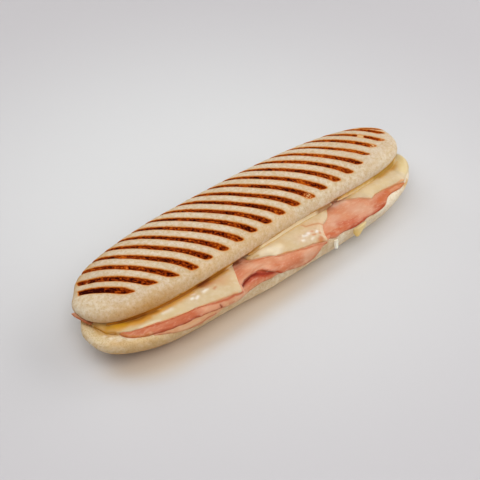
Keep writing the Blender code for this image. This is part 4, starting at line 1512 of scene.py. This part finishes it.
def paintedBoard(add, place):
    # A smooth painted board: matt and nearly white, a little greyer away from its middle as painted shade
    # for the light's fall-off, and warmer and lighter close to the bread's front left side as painted bounce
    # light over its shadow
    # painted shade: greyer away from the middle, standing in for the light's fall-off
    centre = add("distance", place, (0.025, 0.065, 0))
    grey = add("mix", add("ramp", centre, 0.05, 0.30), "dfdfdf", "cecbcd")
    # how far outside the roll's straight sides and round ends
    east = add("parts", place)
    along = add("largest", add("sum", add("size", east), -0.095), 0.0)
    across = add("sum", add("parts", place, output="Y"), 0.0089)
    away = add("length", add("joined", along, across))
    near = add("product", add("ramp", away, 0.048, 0.028), add("ramp", across, 0.0, -0.02))
    near = add("product", near, add("ramp", east, 0.06, -0.02))
    # painted bounce light: a warm tint on the board in the bread's shadow at its front left side
    grey = add("tint", near, grey, "f8ecdc")
    # painted light: lighter and warmer still at the bread's foot, over its contact shadow
    foot = add("product", near, add("product", add("ramp", away, 0.040, 0.027), 0.2))
    return {"Base Color": add("mix", foot, grey, "fbe6cc"), "Roughness": 0.8, "Specular IOR Level": 0.1}


# Pieces


print("roll")
crustTop = newMaterial("bakedWheatCrustGrilled", bakedCrust, False)
crustBottom = newMaterial("bakedWheatCrustBottom", bakedCrust, True)
finishPiece(topHalf(), crustTop, "crust_top", "bread_top")
finishPiece(bottomHalf(), crustBottom, "crust_bottom", "bread_bottom")

print("ham")
ham = newMaterial("cookedHamSliced", cookedHam)
for label, settings in hamSlices.items():
    wave = noWave if settings["lift"] is onCheese else hamWave
    finishPiece(layeredSlice(label, settings, wave), ham, "ham", settings["node"])

print("cheese")
cheese = newMaterial("mildCheeseMelted", meltedCheese)
for label, settings in cheeseSlices.items():
    wave = noWave if settings["lift"] is bedLift else cheeseWave
    finishPiece(layeredSlice(label, settings, wave), cheese, "cheese", settings["node"])

print("butter")
butter = newMaterial("butterBrowned", brownedButter)
for label, settings in seams.items():
    finishPiece(butterSeam(label, settings), butter, "cheese")


# Floor, light and camera


stage = {
    "floorSize": 6.0,
    "skyStrength": 0.04,
    # soft lights: degrees round from the camera, degrees up, watts
    "lights": [
        (0, 28, 3.2), (0, 58, 6.3), (45, 58, 1.6), (90, 28, 6.0),
        (135, 28, 7.2), (180, 58, 0.9), (225, 28, 4.6), (270, 58, 5.0),
    ],
    "lightDistance": 1.5,
    "lightSize": 0.9,
    "nearLight": (0.8, 0.5, 0.8),  # height, size, watts
    "target": (-0.0086188, -0.0013994, 0.02),
    "azimuth": -43.3296,
    "elevation": 38.0,
    "distance": 0.891977,
    "lens": 109.49,
    "sensorWidth": 36,
}


def floorPlane():
    # A square about the middle, at height zero
    size = stage["floorSize"] / 2
    corners = [(-size, -size, 0), (size, -size, 0), (size, size, 0), (-size, size, 0)]
    mesh = bpy.data.meshes.new("floor")
    mesh.from_pydata(corners, [], [(0, 1, 2, 3)])
    mesh.materials.append(newMaterial("paintedBoard", paintedBoard))
    floor = bpy.data.objects.new("floor", mesh)
    bpy.context.scene.collection.objects.link(floor)
    return floor


def directionTo(azimuth, elevation):
    # The unit vector towards a place: azimuth 0 is -Y, and it turns towards +X
    flat = math.cos(elevation)
    return Vector((math.sin(azimuth) * flat, -math.cos(azimuth) * flat, math.sin(elevation)))


def softLight(name, away, distance, size, power):
    # A square light in a direction from the middle, which it faces
    data = bpy.data.lights.new(name, "AREA")
    data.shape = "SQUARE"
    data.size = size
    data.energy = power
    light = bpy.data.objects.new(name, data)
    light.location = away * distance
    light.rotation_euler = away.to_track_quat("Z", "Y").to_euler()
    bpy.context.scene.collection.objects.link(light)


def photoCamera():
    # The camera looks at the target from a distance along the direction of azimuth and elevation
    back = directionTo(math.radians(stage["azimuth"]), math.radians(stage["elevation"]))
    data = bpy.data.cameras.new("camera")
    data.lens = stage["lens"]
    data.sensor_width = stage["sensorWidth"]
    camera = bpy.data.objects.new("camera", data)
    camera.location = Vector(stage["target"]) + back * stage["distance"]
    camera.rotation_euler = back.to_track_quat("Z", "Y").to_euler()
    bpy.context.scene.collection.objects.link(camera)
    bpy.context.scene.camera = camera


print("stage")
floorPlane()
for number, (aroundCamera, up, power) in enumerate(stage["lights"]):
    away = directionTo(math.radians(stage["azimuth"] + aroundCamera), math.radians(up))
    softLight(f"softLight{number}", away, stage["lightDistance"], stage["lightSize"], power)
softLight("nearLight", Vector((0, 0, 1)), *stage["nearLight"])
world = bpy.data.worlds.new("studio")
world.use_nodes = True
setInputs(
    world.node_tree,
    world.node_tree.nodes["Background"],
    {"Color": "ffffff", "Strength": stage["skyStrength"]},
)
bpy.context.scene.world = world
bpy.context.scene.view_settings.view_transform = "Standard"
photoCamera()
